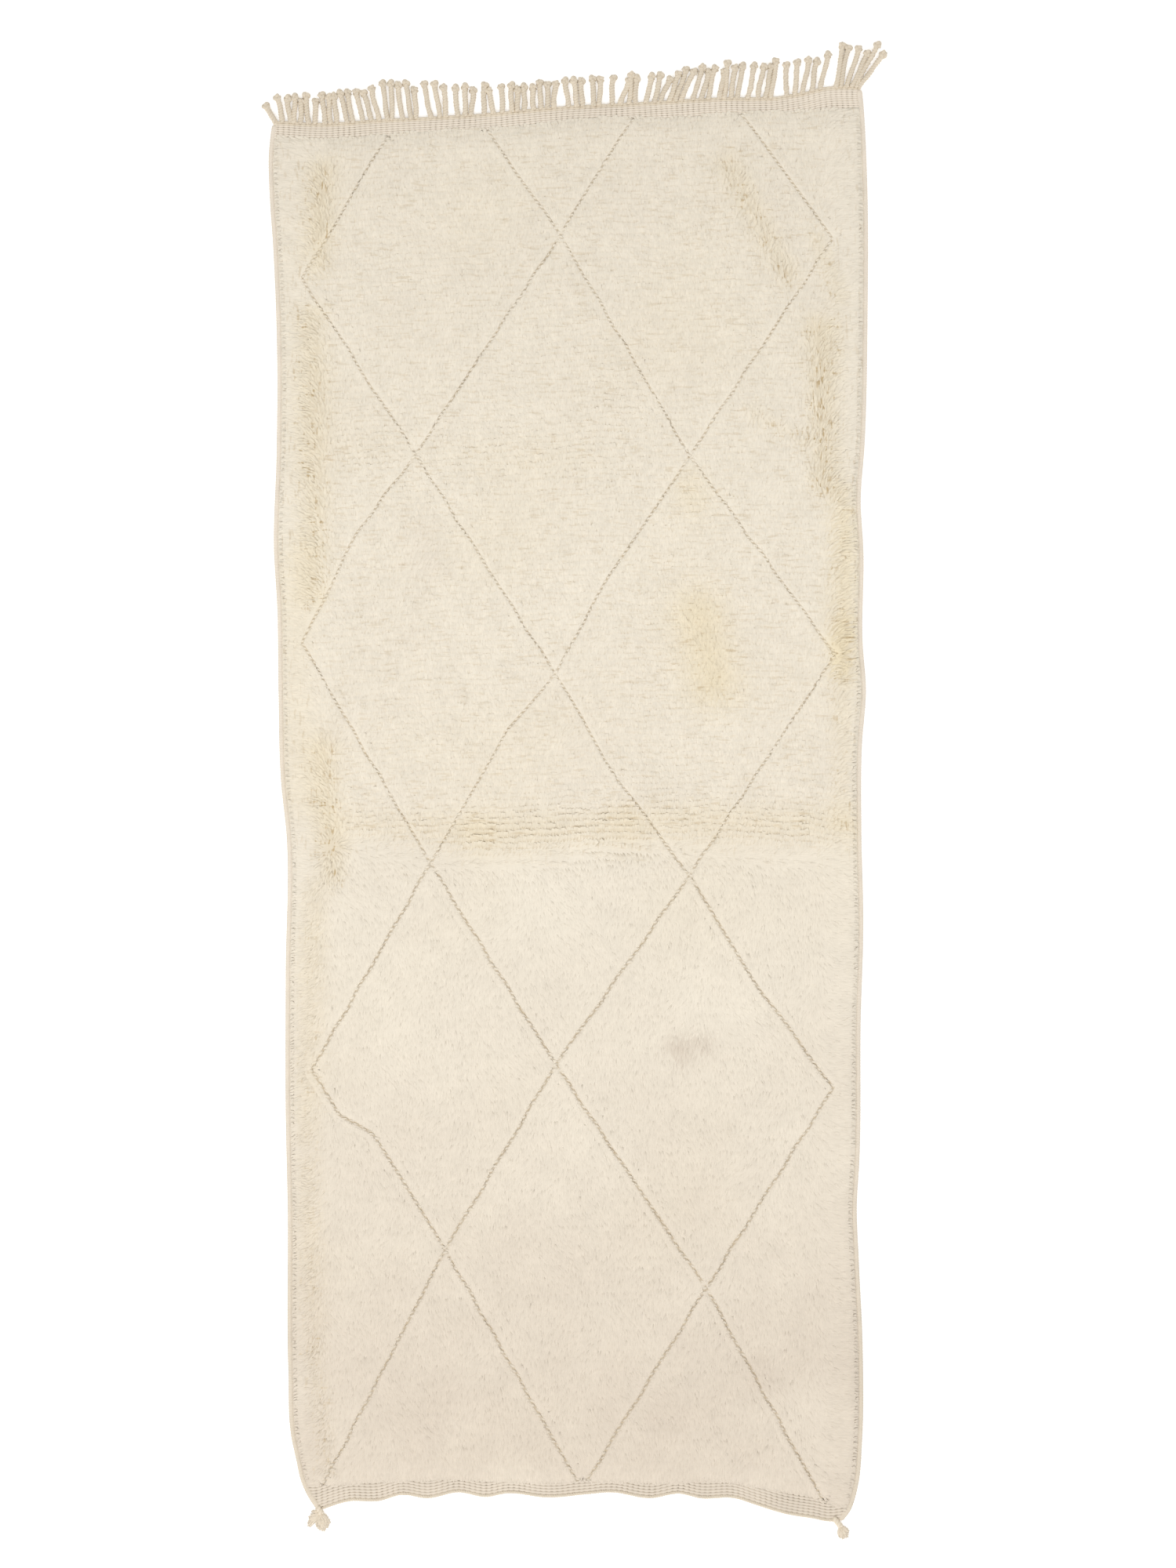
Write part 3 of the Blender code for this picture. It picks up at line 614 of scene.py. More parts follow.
def make_fibre_group():
    """Fine fibres that run along a strand: noise on the strand's map, drawn out along it, with a
    second coarser layer for the bundles that the fibres form."""
    inputs = [
        ("Fibres Around", "NodeSocketFloat", 12.0), ("Fibres Along", "NodeSocketFloat", 120.0),
    ]
    tree, given, wanted = new_group("wool_fibres", inputs, [("Fibre", "NodeSocketFloat")])
    strand = node(tree, "ShaderNodeUVMap", (-900, 300))
    strand.uv_map = "strand"
    parts = node(tree, "ShaderNodeSeparateXYZ", (-700, 300))
    tree.links.new(strand.outputs[0], parts.inputs[0])
    across = math_node(tree, (-500, 300), "MULTIPLY", parts.outputs[0], given["Fibres Around"])
    along = math_node(tree, (-500, 100), "MULTIPLY", parts.outputs[1], given["Fibres Along"])
    number = math_node(tree, (-500, -100), "MULTIPLY", attribute(tree, (-700, -100), "number"), 37.0)
    joined = node(tree, "ShaderNodeCombineXYZ", (-300, 200))
    feed(tree, joined.inputs, (across, along, number))
    fine = node(tree, "ShaderNodeTexNoise", (-100, 300), Scale=1.0, Detail=3.0, Roughness=0.6)
    coarse = node(tree, "ShaderNodeTexNoise", (-100, 0), Scale=0.36, Detail=1.0)
    tree.links.new(joined.outputs[0], fine.inputs["Vector"])
    tree.links.new(joined.outputs[0], coarse.inputs["Vector"])
    half = math_node(tree, (150, 300), "MULTIPLY", fine.outputs["Fac"], 0.6)
    rest = math_node(tree, (150, 0), "MULTIPLY", coarse.outputs["Fac"], 0.4)
    tree.links.new(math_node(tree, (400, 150), "ADD", half, rest), wanted["Fibre"])
    return tree


def make_tint_group():
    """Yellowed and greyed places from the marks on the mesh, and painted shade: a share of the
    painted shade colour where the rise mark is low, towards the roots of the strands and in
    hollows and dips. All times 1 + contrast * (half a mottle + fibre + a fifth of the strand's
    number - 0.85), which is about as often above 1 as below."""
    inputs = [
        ("Colour", "NodeSocketColor", (0.8, 0.74, 0.62, 1)),
        ("Yellow", "NodeSocketColor", (0.8, 0.7, 0.48, 1)),
        ("Grey", "NodeSocketColor", (0.6, 0.56, 0.48, 1)),
        ("Root", "NodeSocketColor", (0.5, 0.4, 0.3, 1)),
        ("Fibre", "NodeSocketFloat", 0.5),
        ("Contrast", "NodeSocketFloat", 0.12),
        ("Root Share", "NodeSocketFloat", 0.5),
    ]
    tree, given, wanted = new_group("wool_tints_and_shade", inputs, [("Colour", "NodeSocketColor")])
    yellow = math_node(tree, (-600, 300), "MULTIPLY", attribute(tree, (-800, 300), "yellowing"), 0.6)
    first = mix_colour(tree, (-400, 300), yellow, given["Colour"], given["Yellow"])
    grey = math_node(tree, (-600, 100), "MULTIPLY", attribute(tree, (-800, 100), "greying"), 0.9)
    second = mix_colour(tree, (-200, 200), grey, first, given["Grey"])
    # Painted shade: the shade colour mixed in where the rise mark is low.
    painted_shade = math_node(tree, (-600, -100), "SUBTRACT", 1.0, attribute(tree, (-800, -100), "rise"))
    depth = math_node(tree, (-400, -100), "MULTIPLY", painted_shade, given["Root Share"])
    third = mix_colour(tree, (0, 100), depth, second, given["Root"])
    place = node(tree, "ShaderNodeTexCoord", (-800, -350))
    mottle = node(tree, "ShaderNodeTexNoise", (-600, -350), Scale=38.0, Detail=3.0, Roughness=0.6)
    tree.links.new(place.outputs["Object"], mottle.inputs["Vector"])
    faint = math_node(tree, (-450, -350), "MULTIPLY", mottle.outputs["Fac"], 0.5)
    both = math_node(tree, (-300, -350), "ADD", faint, given["Fibre"])
    number = math_node(tree, (-300, -550), "MULTIPLY", attribute(tree, (-600, -550), "number"), 0.2)
    every = math_node(tree, (-100, -450), "ADD", both, number)
    swing = math_node(tree, (100, -450), "SUBTRACT", every, 0.85)
    gain = math_node(tree, (300, -450), "MULTIPLY", swing, given["Contrast"])
    factor = math_node(tree, (500, -450), "ADD", gain, 1.0)
    scaled = node(tree, "ShaderNodeVectorMath", (700, 0))
    scaled.operation = "SCALE"
    tree.links.new(third, scaled.inputs[0])
    tree.links.new(factor, scaled.inputs["Scale"])
    tree.links.new(scaled.outputs[0], wanted["Colour"])
    return tree


def make_combed_group():
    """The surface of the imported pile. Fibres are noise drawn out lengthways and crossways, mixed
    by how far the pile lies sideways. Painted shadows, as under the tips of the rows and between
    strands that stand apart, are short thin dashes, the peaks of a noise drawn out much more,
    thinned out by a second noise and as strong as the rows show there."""
    inputs = [("Least Peak", "NodeSocketFloat", 0.56)]
    outputs = [("Fibre", "NodeSocketFloat"), ("Painted_Shadow", "NodeSocketFloat")]
    tree, given, wanted = new_group("combed_pile", inputs, outputs)
    place = node(tree, "ShaderNodeTexCoord", (-1100, 200))

    def drawn_out(row, scale, detail, bend=0.0):
        """Noise in Object coordinates, with a number of waves to the metre along each axis."""
        mapping = node(tree, "ShaderNodeMapping", (-900, row), Scale=scale)
        noise = node(tree, "ShaderNodeTexNoise", (-700, row), Scale=1.0, Detail=detail, Distortion=bend)
        tree.links.new(place.outputs["Object"], mapping.inputs["Vector"])
        tree.links.new(mapping.outputs[0], noise.inputs["Vector"])
        return noise.outputs["Fac"]

    lengthways = drawn_out(400, (800, 95, 60), 3.0)
    crossways = drawn_out(150, (95, 800, 60), 3.0)
    flat_lines = drawn_out(-100, (44, 250, 10), 1.0, 0.3)
    upright_lines = drawn_out(-600, (250, 60, 10), 1.0, 0.4)
    breaks = drawn_out(-350, (30, 30, 10), 1.0)
    sideways = attribute(tree, (-700, 650), "sideways")
    upright = attribute(tree, (-700, -850), "upright")
    rows = attribute(tree, (0, -600), "rows")
    fibre = mix_number(tree, (-400, 300), sideways, lengthways, crossways)
    lines = mix_number(tree, (-500, -100), upright, flat_lines, upright_lines)
    over = math_node(tree, (-300, -100), "SUBTRACT", lines, given["Least Peak"])
    steep = math_node(tree, (-150, -100), "MULTIPLY", over, 9.0)
    ridge = math_node(tree, (0, -100), "MAXIMUM", steep, 0.0)
    peak = math_node(tree, (200, -100), "MINIMUM", ridge, 1.0)
    broken = node(tree, "ShaderNodeMapRange", (0, -350), From_Min=0.3, From_Max=0.6)
    tree.links.new(breaks, broken.inputs["Value"])
    shown = math_node(tree, (200, -350), "MULTIPLY", broken.outputs[0], rows)
    painted_shadow = math_node(tree, (400, -150), "MULTIPLY", peak, shown)
    feed(tree, (wanted["Fibre"], wanted["Painted_Shadow"]), (fibre, painted_shadow))
    return tree


fibre_group = make_fibre_group()
tint_group = make_tint_group()
combed_group = make_combed_group()

# The tan colour and strength of the painted shadow dashes on the imported pile.
PAINTED_SHADOW_TAN = (0.52, 0.40, 0.24)
PAINTED_SHADOW_SHARE = 0.36
FIBRE_RELIEF = 0.6 * MM

# around and along are the waves of the fibre noise round a strand and along a metre of it. They
# # are None on the imported pile, whose fibres follow the combing. root is the colour of painted
# # shade, mixed in by its share where the rise mark is low: towards roots, in hollows and dips.
Wool = namedtuple("Wool", "colour yellow grey root around along contrast root_share bump sheen")


def wool(name, look):
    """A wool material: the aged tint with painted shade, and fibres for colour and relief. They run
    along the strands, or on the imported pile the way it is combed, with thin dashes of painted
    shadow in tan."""
    material = bpy.data.materials.new(name)
    material.use_nodes = True
    tree = material.node_tree
    shader = tree.nodes["Principled BSDF"]
    shader.inputs["Roughness"].default_value = 0.92
    shader.inputs["Specular IOR Level"].default_value = 0.2
    shader.inputs["Sheen Weight"].default_value = look.sheen
    shader.inputs["Sheen Roughness"].default_value = 0.5
    tint = group_node(
        tree, tint_group, (-500, 200), Colour=(*look.colour, 1), Yellow=(*look.yellow, 1),
        Grey=(*look.grey, 1), Root=(*look.root, 1), Contrast=look.contrast, Root_Share=look.root_share,
    )
    bump = node(tree, "ShaderNodeBump", (-300, -200), Strength=look.bump, Distance=FIBRE_RELIEF)
    colour = tint.outputs[0]
    if look.around:
        fibres = group_node(
            tree, fibre_group, (-800, 0), Fibres_Around=look.around, Fibres_Along=look.along
        )
    else:
        fibres = group_node(tree, combed_group, (-800, 0))
        # Painted shadow: thin tan dashes mixed into the pile's colour.
        depth = math_node(tree, (-500, 400), "MULTIPLY", fibres.outputs["Painted_Shadow"], PAINTED_SHADOW_SHARE)
        colour = mix_colour(tree, (-200, 300), depth, colour, PAINTED_SHADOW_TAN)
    tree.links.new(fibres.outputs["Fibre"], tint.inputs["Fibre"])
    tree.links.new(fibres.outputs["Fibre"], bump.inputs["Height"])
    tree.links.new(colour, shader.inputs["Base Color"])
    tree.links.new(bump.outputs[0], shader.inputs["Normal"])
    return material


PILE_WOOL = Wool(
    (0.79, 0.722, 0.605), (0.79, 0.68, 0.465), (0.62, 0.54, 0.445), (0.52, 0.42, 0.28),
    None, None, 0.27, 0.7, 0.9, 0.1,
)
KNOT_WOOL = Wool(
    (0.80, 0.73, 0.61), (0.80, 0.69, 0.47), (0.62, 0.545, 0.445), (0.44, 0.36, 0.25),
    9, 160, 0.2, 0.6, 0.6, 0.05,
)
WEFT_WOOL = Wool(
    (0.83, 0.745, 0.63), (0.80, 0.69, 0.49), (0.62, 0.545, 0.45), (0.54, 0.45, 0.34),
    9, 160, 0.2, 0.6, 0.7, 0.05,
)
CORD_WOOL = Wool(
    (0.75, 0.66, 0.53), (0.75, 0.64, 0.45), (0.64, 0.56, 0.45), (0.46, 0.38, 0.27),
    9, 180, 0.26, 0.5, 0.8, 0.05,
)
pile_wool = wool("ivory_pile", PILE_WOOL)
knot_wool = wool("groove_knots", KNOT_WOOL)
tuft_wool = wool("brushed_ends", CORD_WOOL._replace(root_share=0.3))
weft_wool = wool("ivory_weft", WEFT_WOOL)
cord_wool = wool("twisted_warp", CORD_WOOL)
side_wool = wool("overcast_yarn", CORD_WOOL._replace(colour=(0.80, 0.715, 0.605), root_share=0.3))


# ---------------------------------------------------------------- the cloth

CLOTH_STEP = 20 * MM
CLIMB = 16 * MM


def cloth_height(x, y):
    """Upper face of the cloth, which climbs evenly to the pile over the last CLIMB of an end."""
    _, end = pile_margins(x, y)
    climb = np.clip(1 + end / CLIMB, 0, 1)
    return FLAT_WEAVE + (BED_HEIGHT - FLAT_WEAVE) * climb


def grid_faces(rows, columns):
    """Quads of a grid, facing up, and its outermost points in anticlockwise order."""
    index = np.arange(rows * columns).reshape(rows, columns)
    quads = np.stack([index[:-1, :-1], index[:-1, 1:], index[1:, 1:], index[1:, :-1]], -1)
    loop = np.concatenate([index[0, :-1], index[:-1, -1], index[-1, :0:-1], index[:0:-1, 0]])
    return quads.reshape(-1, 4), loop


def wall_faces(loop, below):
    """Quads from a loop of points to the loop below it, facing out."""
    return np.stack([loop, below, np.roll(below, -1), np.roll(loop, -1)], -1)


def make_cloth():
    """The cloth under the pile, one closed sheet: a grid at the cloth's height, the same grid
    turned over for the back, and a wall between the two. Its bake map has the upper face on the
    left half and the back on the right half."""
    u, v, x, y = field(CLOTH_WIDTH, CLOTH_LENGTH, CLOTH_STEP, bottom_edge, body_top)
    points = np.concatenate([
        np.stack([x, y, cloth_height(x, y)], -1).reshape(-1, 3),
        np.stack([x, y, np.full_like(x, BACK_HEIGHT)], -1).reshape(-1, 3),
    ])
    upper, loop = grid_faces(*x.shape)
    faces = [upper, upper[:, [0, 3, 2, 1]] + x.size, wall_faces(loop, loop + x.size)]
    flat = np.stack([u.ravel() * 0.46 + 0.02, v.ravel() * 0.96 + 0.02], -1)
    both = np.concatenate([flat, flat + [0.5, 0]])
    rim = np.concatenate([flat, flat + [0, 0.01]])
    baked = np.concatenate([both[faces[0].ravel()], both[faces[1].ravel()], rim[faces[2].ravel()]])
    strand = np.concatenate([points[part.ravel()][:, :2] for part in faces]) * [30, 1]
    marks = {name: np.tile(mark.ravel(), 2) for name, mark in tints(x, y).items()}
    # Painted shade on the cloth's upper face, which lies under the pile; none on the back.
    marks["rise"] = np.concatenate([np.full(x.size, 0.4), np.full(x.size, 1.0)])
    for name in ("number", "sideways", "upright", "rows"):
        marks[name] = np.zeros(2 * x.size)
    maps = {"strand": strand, "OFBake": baked}
    return add_piece("cloth", points, faces, maps, marks, pile_wool)


# ---------------------------------------------------------------- the pile


def rim_share(x, y):
    """1 over most of the pile. It falls to 0 along a quarter of an ellipse over the last SIDE_RUN
    before a side and along a sine over the last END_RUN before an end."""
    side, end = pile_margins(x, y)
    round_side = np.sqrt(1 - (1 - np.clip(side / SIDE_RUN, 0, 1)) ** 2)
    return round_side * np.sin(np.pi / 2 * np.clip(end / END_RUN, 0, 1))


def bank_share(x, y):
    """How far up a groove's bank each place lies, from 0 at its foot to 1 on the level pile, by
    GROOVE_PROFILE, which is drawn wider below the cross parting."""
    return np.interp(groove_distance(x, y) / (1.3 - 0.3 * upper_share(y)), *GROOVE_PROFILE)


def crown_height(x, y):
    """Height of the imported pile: lumpy at three sizes, sunk where its strands stand apart, down a
    bank at each groove and lower at the rim."""
    lumps = 0.7 * ripple(x, y, 0.09, 3) + 0.35 * ripple(x, y, 0.035, 4) + 0.25 * ripple(x, y, 0.016, 7)
    top = CROWN + (lumps - 1.7 * opened(x, y)) * MM
    top = GROOVE_FLOOR + (top - GROOVE_FLOOR) * bank_share(x, y)
    return CROWN_EDGE + (top - CROWN_EDGE) * rim_share(x, y)


def pile_marks(x, y):
    """Tints, how far the pile lies sideways, how upright its painted shadow dashes run, between
    strands where they stand apart and else along the rows, and how strongly they are painted."""
    dx, _ = comb(x, y)
    loose = opened(x, y)
    marks = tints(x, y)
    marks["sideways"] = dx * dx
    marks["upright"] = dx * dx + (1 - 2 * dx * dx) * loose
    # How strongly the painted shadow dashes show.
    marks["rows"] = 0.1 + 0.65 * upper_share(y) + 3.2 * loose + 0.9 * ridged(x, y)
    return marks


def make_crown():
    """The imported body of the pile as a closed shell: a grid over it, sunk a little out of sight
    along the grooves, and one flat face below, 2 mm wider on each side, under the side cords."""
    u, v, x, y = field(PILE_WIDTH, PILE_LENGTH, CROWN_STEP, pile_bottom, pile_top)
    height = crown_height(x, y)
    under_bank = groove_distance(x, y) < BANK_REACH
    height = np.where(under_bank, np.minimum(height - 1.5 * MM, 9 * MM), height)
    upper, loop = grid_faces(*x.shape)
    below = x.size + np.arange(len(loop))
    rim = wall_faces(loop, below)
    places = np.stack([x, y, height], -1).reshape(-1, 3)
    foot = places[loop] * [FOOT_SPREAD, 1, 0] + [0, 0, CROWN_FOOT]
    points = np.concatenate([places, foot])
    flat = np.stack([u.ravel() * 0.8 + 0.01, v.ravel() * 0.98 + 0.01], -1)
    corner_maps = np.concatenate([flat, flat[loop] + [0.002, 0]])
    back = np.stack([0.85 + 0.14 * u.ravel()[loop], 0.01 + 0.98 * v.ravel()[loop]], -1)[::-1]
    baked = np.concatenate([corner_maps[upper.ravel()], corner_maps[rim.ravel()], back])
    faces = [upper, rim, below[::-1][None]]
    strand = np.concatenate([points[part.ravel()][:, :2] for part in faces])
    marks = {name: mark.ravel() for name, mark in pile_marks(x, y).items()}
    marks = {name: np.concatenate([mark, mark[loop]]) for name, mark in marks.items()}
    # Painted shade where the strands stand apart and their lower parts show.
    marks["rise"] = 1 - 0.35 * opened(points[:, 0], points[:, 1])
    marks["number"] = np.full(len(points), 0.5)
    maps = {"strand": strand, "OFBake": baked}
    return add_piece("pile_crown", points, faces, maps, marks, pile_wool)


def make_banks():
    """The pile's banks along the grooves: a ribbon of crown heights carried along each groove,
    flat below, that tucks its edges 0.8 mm under the crown."""
    across = np.concatenate([BANK_STEPS, [0], -BANK_STEPS[::-1]])
    tubes = Tubes()
    for line in GROOVES:
        flat, _ = resample(line, BANK_PITCH)
        flat = flat[pile_margin(*flat.T) > 1.5 * MM]
        path = lifted(flat, 0.0)
        sideways, _, _ = frames(path)
        top = path[:, None] + sideways[:, None] * across[:, None]
        top[..., 0] = np.clip(top[..., 0], body_left(top[..., 1]) + GAP, body_right(top[..., 1]) - GAP)
        top[..., 1] = np.clip(top[..., 1], pile_bottom(top[..., 0]) + GAP, pile_top(top[..., 0]) - GAP)
        tuck = np.where(np.abs(across) > 15 * MM, -0.8 * MM, 0.1 * MM)
        top[..., 2] = crown_height(top[..., 0], top[..., 1]) + tuck
        low = top[:, [-1, 0]] * [1, 1, 0] + [0, 0, CROWN_FOOT]
        rings = np.concatenate([top, low], 1)[None]
        marks = pile_marks(rings[..., 0], rings[..., 1])
        # Painted shade down the banks into the groove.
        rise = np.clip(bank_share(rings[..., 0], rings[..., 1]) / 0.62, 0, 1)
        tubes.add(rings, rise=1.3 * rise - 0.3, number=0.5, **marks)
    return tubes.make("pile_banks", pile_wool)


def comb(x, y):
    """Direction in which the pile lies: up above the cross parting, down below it and outwards
    beyond the side partings. Each turn takes about PARTING_SOFTNESS, and the pile sways."""
    waver = 14 * MM * ripple(x, y, 0.3, 11)
    lengthways = np.tanh((y - CROSS_PARTING - waver) / PARTING_SOFTNESS)
    left = 0.5 - 0.5 * np.tanh((x - LEFT_PARTING - waver * 0.4) / PARTING_SOFTNESS)
    right = 0.5 + 0.5 * np.tanh((x - RIGHT_PARTING - waver * 0.4) / PARTING_SOFTNESS)
    turn = 0.22 * ripple(x, y, 0.11, 12) + 0.12 * ripple(x, y, 0.035, 13)
    aside = 0.25 * ripple(x, y, 0.25, 14) + 0.5 * (1 - lengthways**2)
    dx = 1.2 * (right - left) + (1 - left - right) * aside
    dy = lengthways * (1 - 0.8 * (left + right))
    length = np.maximum(np.hypot(dx, dy), 1e-3)
    return turned(dx / length, dy / length, turn)


def room_ahead(x, y, dx, dy, lean, lip, over):
    """How far each lock may lie over: the last of nine even steps of its lean before its tip comes
    to a groove's lip, 0.8 mm past the cloth's side or over past the pile's end, and 0.12 of its
    lean where there is no such step."""
    room = np.full(x.shape, 0.12) * lean
    free = np.ones(x.shape, bool)
    for share in np.linspace(0.2, 1, 9):
        tip_x, tip_y = x + dx * lean * share, y + dy * lean * share
        side, end = pile_margins(tip_x, tip_y)
        free &= (groove_distance(tip_x, tip_y) > lip) & (side > -0.8 * MM) & (end > -over)
        room = np.where(free, lean * share, room)
    return room


SHORTEST_LOCK = 4 * MM
# How far a lock lies over, how high its shoulder and its tip stand above the crown, how wide it
# # is, what share of that its tip keeps and how much painted shade its root gets.
Lock = namedtuple("Lock", "lean lift lip width blunt dark")


def lock_rings(x, y, dx, dy, lock):
    """Three triangular rings for each lock: its root, 0.6 mm deep in the crown, its shoulder at
    two thirds of its lean, lifted above the crown, and its tip, a share of its width, that stands
    a lip above the crown there, which counts as no more than 5.5 mm lower than at the root."""
    d = np.stack([dx, dy, np.zeros_like(dx)], -1)
    side = np.cross(UP, d)
    at = [np.stack([x, y], -1) + d[:, :2] * (lock.lean * share)[:, None] for share in (0, 0.68, 1)]
    ground = [crown_height(place[:, 0], place[:, 1]) for place in at]
    tip = np.maximum(ground[2], ground[0] - 5.5 * MM) + lock.lip
    heights = ground[0] - 0.6 * MM, ground[1] + lock.lift, tip
    spine = np.stack([lifted(place, height) for place, height in zip(at, heights)], 1)
    ahead = [spine[:, 1] - spine[:, 0], spine[:, 2] - spine[:, 0], spine[:, 2] - spine[:, 1]]
    upward = np.cross(unit(np.stack(ahead, 1)), side[:, None])
    turn = np.radians([90, 210, 330])
    wide = np.stack([0.8 * lock.width, lock.width, lock.blunt * lock.width], 1)
    share = [np.full(x.shape, 0.14), 0.1 + 0.12 * lock.blunt, 0.14 * lock.blunt]
    thick = lock.width[:, None] * np.stack(share, 1)
    ring = side[:, None, None] * (wide[..., None] * np.cos(turn))[..., None]
    ring = ring + upward[:, :, None] * (thick[..., None] * np.sin(turn))[..., None]
    return spine[:, :, None] + ring


def sharpen(piece):
    """Sharp edges along both sides of each lock and round its tip, so that its upper faces don't
    shade over into its underside. Points go by nines: three rings of top, left and right."""
    mesh = piece.data
    pairs = np.empty(2 * len(mesh.edges), np.int32)
    mesh.edges.foreach_get("vertices", pairs)
    place = pairs.reshape(-1, 2) % 9
    ring, corner = place // 3, place % 3
    along = (corner[:, 0] == corner[:, 1]) & (corner[:, 0] > 0)
    round_tip = (ring == 2).all(1)
    layer = mesh.attributes.new("sharp_edge", "BOOLEAN", "EDGE")
    layer.data.foreach_set("value", along | round_tip)


def place_locks(shift):
    """Where the locks stand, in rows that waver together, each a little off its place. shift is
    the share of a row and of a column by which the whole pattern is moved."""
    rows = round(PILE_LENGTH / ROW_PITCH)
    columns = round(PILE_WIDTH / LOCK_PITCH)
    row, column = np.meshgrid(np.arange(rows), np.arange(columns), indexing="ij")
    v = (row + 0.5 + shift) / rows
    x, y = laid((column + 0.5 + shift) / columns, v, pile_bottom, pile_top)
    dx, _ = comb(x, y)
    brick = (row % 2 - 0.5) / 2 * (1 - dx**2)
    u = (column + 0.5 + shift + brick) / columns
    x, y = laid(u, v, pile_bottom, pile_top)
    loose = (2.4 - 1.8 * upper_share(y)) * (1 - 0.6 * ridged(x, y)) + 1.2 * opened(x, y)
    x = x + random.normal(0, 0.35 * MM, x.shape) * loose
    y = y + random.normal(0, 0.8 * MM, x.shape) * loose
    x = x + 2.4 * MM * ripple(x, y, 0.045, 20) * dx**2
    y = y + (1.6 * ripple(x, y, 0.05, 21) + 0.9 * ripple(x, y, 0.02, 22)) * MM * (1 - dx**2)
    lip = (2.9 - 0.9 * upper_share(y)) * MM
    kept = (groove_distance(x, y) > lip) & (pile_margin(x, y) > 1 * MM)
    return x[kept], y[kept], u[kept]


def all_locks():
    """The pattern once over the whole pile, and again between its places where the strands
    stand apart."""
    places = np.stack(place_locks(0), 1)
    extra = np.stack(place_locks(0.5), 1)
    extra = extra[opened(extra[:, 0], extra[:, 1]) > 0.2]
    return np.concatenate([places, extra]).T


def shape_locks(x, y, dx, dy):
    """Above the cross parting and in its ridges the locks are broad and blunt, so that a row's
    tips join into lines, which come and go along a row by a drawn-out ripple. Below it, and where
    strands stand apart, they are slim and pointed, and there they are also lifted."""
    loose, ridge = opened(x, y), ridged(x, y)
    upper = np.clip(upper_share(y) * (1 - 0.7 * dx**2) + 1.2 * ridge, 0, 1) * (1 - 0.9 * loose)
    slim = 1 - upper
    lean = (random.uniform(11, 14, x.shape) + random.uniform(2, 6, x.shape) * slim) * MM
    reach = (random.uniform(1.0, 2.8, x.shape) + 0.7 - 0.7 * upper_share(y)) * MM
    lean = room_ahead(x, y, dx, dy, lean, reach, random.uniform(0.3, 3.6, x.shape) * MM)
    inland = np.clip(pile_margins(x, y)[1] / (26 * MM), 0, 1)
    show = np.clip(0.35 + 0.75 * ripple(x * dy - y * dx, 3 * (x * dx + y * dy), 0.05, 23), 0, 1.2)
    lift = (0.08 + random.uniform(0, 0.2, x.shape) + 0.3 * upper) * MM
    lift = lift + random.uniform(0.1, 1.1, x.shape) * loose * MM
    lip = (0.08 + (0.28 + 1.2 * ridge) * show) * upper * inland + 0.02 * slim + 0.35 * loose
    width = (3.3 + 0.8 * ridge) * upper + random.uniform(1.6, 2.6, x.shape) * slim * (1 - 0.25 * loose)
    blunt = (random.uniform(0.65, 0.95, x.shape) + 0.1 * ridge) * upper * (0.5 + 0.5 * inland)
    blunt = blunt + 0.3 * slim
    # Painted shade at the root, as under the tips of the row before, more where tips stand off and
    # strands stand apart.
    dark = 0.15 + 0.5 * upper * show + 0.6 * np.maximum(loose, ridge)
    return Lock(lean, lift, lip * MM, width * MM, blunt, np.minimum(dark, 0.95))


def place_bank_locks():
    """Where the short locks stand that fall into the grooves from both banks, and which way."""
    places = []
    for line in GROOVES:
        flat, _ = resample(line, BANK_PITCH)
        across = unit(np.gradient(flat, axis=0))[:, ::-1] * [-1, 1]
        for side in (-1, 1):
            away = random.uniform(4.2, 6.2, len(flat))[:, None] * MM
            along = random.normal(0, 1.0 * MM, flat.shape)
            places.append(np.concatenate([flat + side * across * away + along, -side * across], 1))
    x, y, dx, dy = np.concatenate(places).T
    lie_x, lie_y = comb(x, y)
    direction = unit(np.stack([0.7 * dx + lie_x, 0.7 * dy + lie_y], 1))
    kept = (pile_margin(x, y) > 3 * MM) & (groove_distance(x, y) > 3.4 * MM)
    return x[kept], y[kept], *direction[kept].T


def lock_piece(name, x, y, dx, dy, lock):
    """One piece of locks, each with painted shade towards its root and with a number of its own."""
    rings = lock_rings(x, y, dx, dy, lock)
    marks = {mark: values[:, None, None] for mark, values in pile_marks(x, y).items()}
    marks["number"] = random.uniform(0, 1, x.shape)[:, None, None]
    tubes = Tubes()
    # Painted shade: most at the root ring, a little at the shoulder, none at the tip.
    rise = 1 - np.array([1, 0.1, 0])[None, :, None] * lock.dark[:, None, None]
    tubes.add(rings, rise=rise, **marks)
    piece = tubes.make(name, pile_wool)
    sharpen(piece)
    return piece


def make_locks():
    """The locks of the pile in four pieces side by side, and the short ones on the banks."""
    x, y, u = all_locks()
    dx, dy = comb(x, y)
    loose = opened(x, y)
    turn = random.normal(0, 0.12, x.shape) * (1 + loose) + 0.5 * loose * ripple(x, y, 0.03, 24)
    dx, dy = turned(dx, dy, turn)
    lock = shape_locks(x, y, dx, dy)
    quarter = (u * 4).astype(int).clip(0, 3)
    quarter[lock.lean < SHORTEST_LOCK] = -1
    pieces = []
    for number, name in enumerate(("locks_left", "locks_mid_left", "locks_mid_right", "locks_right")):
        mine = quarter == number
        own = Lock(*(values[mine] for values in lock))
        pieces.append(lock_piece(name, x[mine], y[mine], dx[mine], dy[mine], own))
    x, y, dx, dy = place_bank_locks()
    reach = random.uniform(1.0, 2.6, x.shape) * MM
    lean = room_ahead(x, y, dx, dy, random.uniform(5, 8, x.shape) * MM, reach, 0.6 * MM)
    lift = random.uniform(0.3, 0.7, x.shape) * MM
    width = random.uniform(1.5, 2.4, x.shape) * MM
    lock = Lock(lean, lift, lift * 0.4, width, np.full(x.shape, 0.4), np.full(x.shape, 0.1))
    pieces.append(lock_piece("locks_on_banks", x, y, dx, dy, lock))
    return pieces


# ---------------------------------------------------------------- grooves, ends and edges

KNOT_PITCH = 7.8 * MM
KNOT_STATIONS = 5


